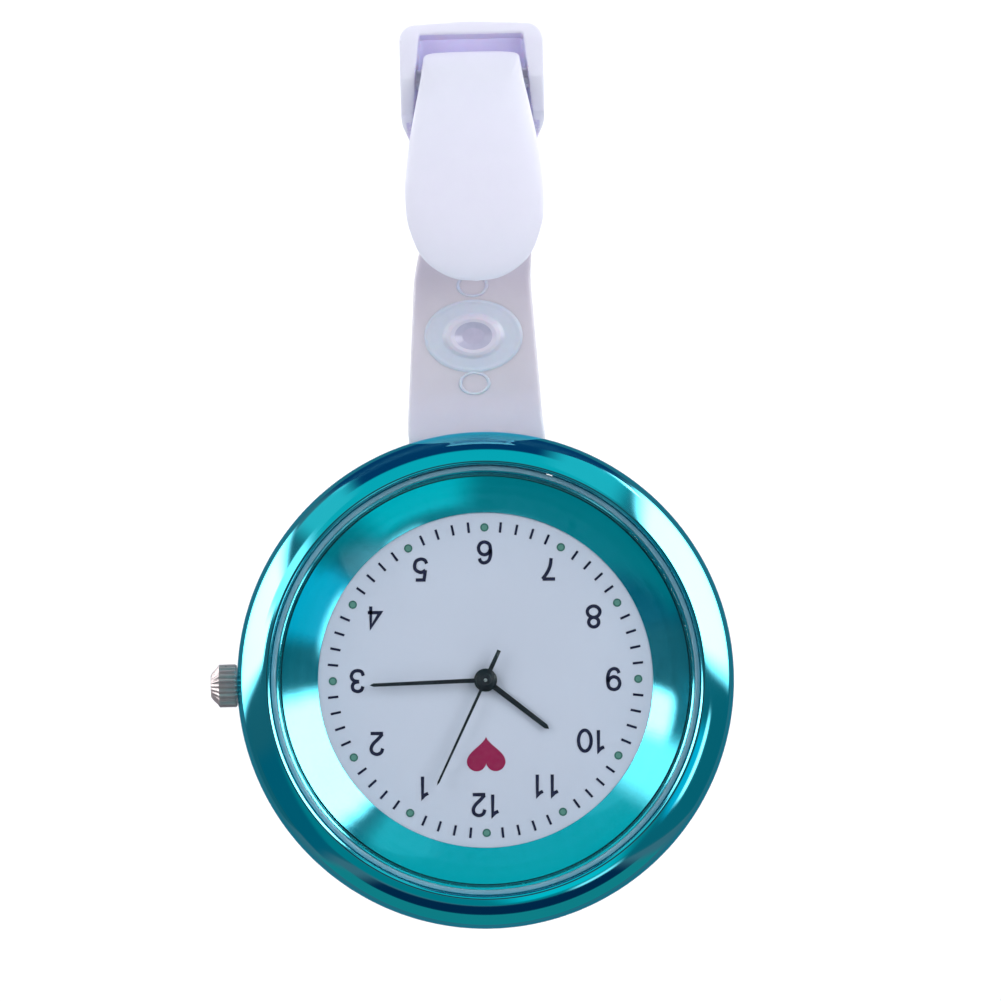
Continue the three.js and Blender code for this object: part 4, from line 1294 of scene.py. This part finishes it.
def snap_head():
    """The snap's moulded head: a wide thin rim, a raised boss with a bright lip and a sunken middle with
    painted shade.
    """
    face = RUN_FACE + SNAP_SEAT
    tip = STUD_HIGH.y / MM
    corners = [
        (0, face - 0.02, 0), (1.0, face - 0.05, 0.5), (1.7, face - 0.3, 0.3), (2.1, face - 0.4, 0.25),
        (2.45, face - 0.3, 0.25), (2.8, face - 0.07, 0.4), (3.9, face - 0.05, 0.3), (4.2, face - 0.075, 0.15),
        (4.45, face - 0.02, 0.15), (4.5, face + 0.05, 0), (0, face + 0.05, 0),
    ]
    shape = squashed(lathe(filleted(corners, 5), 96))
    stud = [(0, face), (STUD_RADIUS, face), (STUD_RADIUS, STUD_TIP), (STUD_TIP_RADIUS, tip), (0, tip)]
    merge(shape, lathe(stud, 48))
    piece = make_piece("snap_head", at_snap(shape, SNAP_Z), [SNAP, DIMPLE_SHADE], 40)
    # Faces of the sunken middle take the darker material, which is painted shade.
    for side in piece.data.polygons:
        place = side.center / MM
        away = math.hypot(place.x - strap_middle(SNAP_Z), (place.z - SNAP_Z) / SNAP_HEAD_SQUASH)
        side.material_index = 1 if away < DIMPLE_SHADE_RADIUS and place.y < face else 0
    return settle(piece, "strap_upper", ["snap_stud"])


def snap_socket():
    """The ring behind the flap that the stud clicks into."""
    k = SOCKET
    seat = STRAP["flap_y"] + STRAP["thickness"] / 2 + SNAP_SEAT - k["sunk"]
    back = SOCKET_HIGH.y / MM
    bowl = back - k["bowl_depth"]
    outer = (SOCKET_HIGH.x - SOCKET_LOW.x) / 2 / MM
    corners = [
        (SOCKET_BORE, seat, 0.05), (outer, seat, 0.05), (outer, back - k["edge"], 0.15),
        (outer - k["slope"], back, 0.25), (k["rim"], back, 0.2), (k["bowl"], bowl, 0.15),
        (SOCKET_BORE, bowl, 0.2),
    ]
    piece = make_piece("snap_socket_ring", at_snap(lathe(filleted(corners, 5), 96), SNAP_Z), [SNAP], 40)
    return settle(piece, "flap", ["snap_socket"])


def moulding_rings():
    """Two small ring ridges that the mould leaves on the run, above and below the snap."""
    r = RIDGE
    foot, crest = RUN_FACE + r["sunk"], RUN_FACE - r["proud"]
    corners = [
        (r["inner"], foot, 0.02), (r["inner"] + r["slope"], crest, 0.05),
        (r["outer"] - r["slope"], crest, 0.05), (r["outer"], foot, 0.02),
    ]
    for name, height in RIDGE_HEIGHTS.items():
        shape = squashed(lathe(filleted(corners, 4), 64))
        settle(make_piece(name, at_snap(shape, height), [SNAP], 60), "strap_upper")


strap_run()
strap_flap()
snap_head()
snap_socket()
moulding_rings()

# ---- what stays as the CAD made it

KEPT = {
    STEEL: [
        "fourth_wheel", "stem", "setting_lever", "crown_tube", "bridge_screw_1", "bridge_screw_2",
        "clamp_screw", "quartz_can", "battery", "battery_clamp",
    ],
    BRASS: [
        "third_wheel", "centre_wheel", "cannon_pinion", "hour_wheel", "clutch_pinion", "main_plate",
        "train_bridge",
    ],
    NYLON: ["movement_holder", "fifth_wheel", "minute_wheel"],
    MAGNET: ["rotor", "stator"],
    COPPER: ["coil"],
    BOARD: ["circuit_board"],
    RESIN: ["ic_chip"],
    GASKET: ["crown_gasket"],
}
for material, names in KEPT.items():
    for node_name in names:
        slots = frame["nodes"][node_name].data.materials
        slots.clear()
        slots.append(material)

# ---- stage, light and camera

VIEW = {"x": 1.72, "z": -38.72, "width": 91.0, "distance": 600.0, "elevation": -1.5, "roll": 1.3}
SENSOR = 36.0
CARD_STEPS = 12
# From here on, places are in metres. The sweep's profile runs along Y and Z.
AIM = Vector((0, 0, -0.055))
SWEEP = {"floor_front": -1.6, "floor": -0.62, "wall": 0.8, "wall_top": 1.8, "radius": 0.3, "half_width": 2.2}
SWEEP_STEPS = 12
LAMP_DISTANCE = 0.72
LAMP_SIZE = (0.42, 0.7)
LAMP_COLOUR = (0.96, 0.98, 1.0)
WALL_LAMP = {"place": (0, 0.25, 0.9), "aim": (0, 0.8, -0.05), "size": (1.6, 0.3), "power": 14}


def soft_glow(name, colour, strength, fade):
    """A glow that fades out towards its card's edges, over the given shares of its width and length."""
    material, tree, _ = new_material(name)
    tree.nodes.clear()
    place = add_node(tree, "SeparateXYZ", Vector=add_node(tree, "UVMap").outputs["UV"])
    shares = []
    for axis, share in zip(("X", "Y"), fade):
        near = place.outputs[axis]
        edge = math_node(tree, "MINIMUM", near, math_node(tree, "SUBTRACT", 1.0, near))
        ramp = add_node(tree, "MapRange", Value=edge, From_Max=share)
        ramp.interpolation_type = "SMOOTHSTEP"
        shares.append(ramp.outputs["Result"])
    glow = add_node(tree, "Emission", Color=(*colour, 1), Strength=strength).outputs["Emission"]
    clear = add_node(tree, "BsdfTransparent").outputs["BSDF"]
    surface = mix_shaders(tree, math_node(tree, "MULTIPLY", *shares), clear, glow)
    add_node(tree, "OutputMaterial", Surface=surface)
    return material


def card(name, around, ends, widths, colour, strength, distance, fade):
    """A glowing or shaded card that only polished surfaces see. Its long side points at the dial's axis."""
    mesh = bpy.data.meshes.new(name)
    middle = math.radians(sum(ends) / 2)
    reach = math.tan(math.radians(ends[1] - ends[0]) / 2) * distance
    turn = math.radians(around)
    outwards = Vector((math.cos(turn), 0, math.sin(turn)))
    across = Vector((-math.sin(turn), 0, math.cos(turn)))
    centre = AIM + distance * (math.sin(middle) * outwards + Vector((0, -math.cos(middle), 0)))
    along_card = math.cos(middle) * outwards + Vector((0, math.sin(middle), 0))
    shape = bmesh.new()
    uv = shape.loops.layers.uv.new("UVMap")
    rows = []
    for row in range(CARD_STEPS + 1):
        v = row / CARD_STEPS
        width = widths[0] + (widths[1] - widths[0]) * v
        place = centre + along_card * reach * (2 * v - 1)
        rows.append([(shape.verts.new(place + across * width * (u - 0.5)), (u, v)) for u in (0, 0.5, 1)])
    for first, second in zip(rows, rows[1:]):
        for left in (0, 1):
            ring = [first[left], first[left + 1], second[left + 1], second[left]]
            face = shape.faces.new([vert for vert, place in ring])
            for loop, (vert, place) in zip(face.loops, ring):
                loop[uv].uv = place
    shape.to_mesh(mesh)
    shape.free()
    piece = show(name, mesh)
    mesh.materials.append(soft_glow(name, colour, strength, fade))
    piece.visible_camera = False
    piece.visible_shadow = False
    piece.visible_diffuse = False


def softbox(name, place, aim, size, power, colour=(1, 1, 1)):
    """A rectangular lamp at a place, turned towards its aim."""
    light = bpy.data.lights.new(name, "AREA")
    light.shape = "RECTANGLE"
    light.size, light.size_y = size
    light.energy = power
    light.color = colour
    piece = show(name, light)
    piece.location = place
    piece.rotation_euler = (Vector(aim) - Vector(place)).to_track_quat("-Z", "Y").to_euler()
    return piece


def backdrop():
    """A seamless pale sweep: floor below and behind, rising into a wall."""
    floor, wall, radius = SWEEP["floor"], SWEEP["wall"], SWEEP["radius"]
    profile = [(SWEEP["floor_front"], floor)]
    for step in range(SWEEP_STEPS + 1):
        angle = math.radians(-90 + 90 * step / SWEEP_STEPS)
        profile.append((wall - radius + radius * math.cos(angle), floor + radius + radius * math.sin(angle)))
    profile.append((wall, SWEEP["wall_top"]))
    mesh = bpy.data.meshes.new("sweep")
    verts = [(x, y, z) for y, z in profile for x in (-SWEEP["half_width"], SWEEP["half_width"])]
    faces = [(2 * i, 2 * i + 1, 2 * i + 3, 2 * i + 2) for i in range(len(profile) - 1)]
    mesh.from_pydata(verts, [], faces)
    mesh.shade_smooth()
    piece = show("sweep", mesh)
    material, tree, shader = new_material("pale_paper")
    set_inputs(tree, shader, Roughness=0.95, Specular_IOR_Level=0.1)
    vary_colour(tree, shader, noise_node(tree, 3), (0.93, 0.93, 0.935), (0.95, 0.95, 0.955))
    mesh.materials.append(material)
    piece.visible_glossy = False


def room():
    world = bpy.data.worlds.new("studio")
    world.use_nodes = True
    tree = world.node_tree
    set_inputs(tree, tree.nodes["Background"], Color=(0.78, 0.82, 0.92, 1), Strength=0.36)
    bpy.context.scene.world = world


def camera():
    data = bpy.data.cameras.new("camera")
    data.lens = SENSOR * VIEW["distance"] / VIEW["width"]
    data.sensor_width = SENSOR
    data.clip_start = 0.01
    piece = show("camera", data)
    aim = Vector((VIEW["x"], 0, VIEW["z"])) * MM
    elevation = math.radians(VIEW["elevation"])
    offset = Vector((0, -math.cos(elevation), math.sin(elevation))) * VIEW["distance"] * MM
    piece.location = aim + offset
    roll = Matrix.Rotation(math.radians(-VIEW["roll"]), 3, "Z")
    piece.rotation_euler = ((-offset).to_track_quat("-Z", "Y").to_matrix() @ roll).to_euler()
    bpy.context.scene.camera = piece


def from_dial(around, off_axis, distance):
    """A place seen from the dial: degrees around its axis from the right, and degrees off the axis."""
    a, o = math.radians(around), math.radians(off_axis)
    return AIM + distance * Vector((math.sin(o) * math.cos(a), -math.cos(o), math.sin(o) * math.sin(a)))


# (name, degrees round, degrees off the dial's axis, power)
LAMPS = [
    ("box_left", 150, 55, 2.3),
    ("box_right", 30, 55, 3.1),
]
# (name, degrees round, off axis at each end, width at each end, colour, strength, distance, fading)
CARDS = [
    ("gleam_left", 164, (36, 124), (0.24, 0.86), (0.94, 1.0, 1.0), 8.5, 0.75, (0.22, 0.1)),
    ("gleam_left_front", 151, (26, 56), (0.14, 0.34), (0.7, 1.0, 1.0), 2.5, 0.73, (0.3, 0.2)),
    ("gleam_right", 24, (23, 122), (0.34, 1.12), (0.94, 1.0, 1.0), 8.5, 0.75, (0.18, 0.1)),
    ("dark_front", 90, (-8, 8), (0.16, 0.16), (0.0, 0.0, 0.0), 0.0, 0.50, (0.2, 0.2)),
    ("shade_above", 92, (58, 136), (1.3, 1.3), (0.0, 0.38, 1.0), 0.2, 0.78, (0.15, 0.08)),
    ("glow_above", 100, (14, 66), (0.7, 1.3), (0.02, 1.0, 1.0), 0.78, 0.80, (0.2, 0.1)),
    ("shade_below", 272, (47, 80), (0.46, 0.7), (0.0, 0.35, 0.9), 0.12, 0.42, (0.12, 0.14)),
    ("dim_below", 270, (72, 126), (0.8, 0.9), (0.1, 1.0, 0.95), 0.42, 0.43, (0.1, 0.1)),
    ("dim_front_low", 262, (14, 50), (0.62, 0.62), (0.0, 0.95, 1.0), 0.40, 0.45, (0.15, 0.12)),
    ("glow_front_low", 290, (16, 46), (0.14, 0.24), (0.0, 1.0, 1.0), 0.95, 0.44, (0.3, 0.2)),
    ("shade_low_left", 212, (18, 104), (0.24, 0.60), (0.0, 0.75, 1.0), 0.28, 0.70, (0.2, 0.1)),
    ("glow_low_right", 334, (24, 52), (0.16, 0.30), (0.0, 0.95, 1.2), 0.9, 0.66, (0.25, 0.2)),
    ("streak_low_right", 338, (44, 58), (0.26, 0.26), (0.9, 1.0, 1.0), 5.0, 0.64, (0.3, 0.45)),
    ("streak_low", 298, (44, 54), (0.10, 0.10), (0.9, 1.0, 1.0), 2.0, 0.41, (0.3, 0.45)),
    ("glow_right_up", 62, (28, 108), (0.24, 0.46), (0.1, 1.0, 1.0), 0.9, 0.74, (0.3, 0.15)),
    ("glow_left_up", 132, (30, 112), (0.2, 0.4), (0.15, 1.0, 1.0), 0.9, 0.77, (0.3, 0.15)),
    ("surround_right", 0, (12, 125), (1.9, 1.9), (0.05, 0.85, 1.0), 0.28, 0.97, (0.02, 0.02)),
    ("surround_above", 90, (12, 125), (1.9, 1.9), (0.05, 0.85, 1.0), 0.28, 0.98, (0.02, 0.02)),
    ("surround_left", 180, (12, 125), (1.9, 1.9), (0.2, 0.85, 1.0), 0.26, 0.99, (0.02, 0.02)),
]
room()
backdrop()
for lamp, around, off_axis, power in LAMPS:
    light = softbox(lamp, from_dial(around, off_axis, LAMP_DISTANCE), AIM, LAMP_SIZE, power, LAMP_COLOUR)
    light.visible_glossy = False
    light.visible_transmission = False
for card_values in CARDS:
    card(*card_values)
softbox("wall_light", **WALL_LAMP)
camera()
bpy.context.scene.view_settings.view_transform = "Standard"
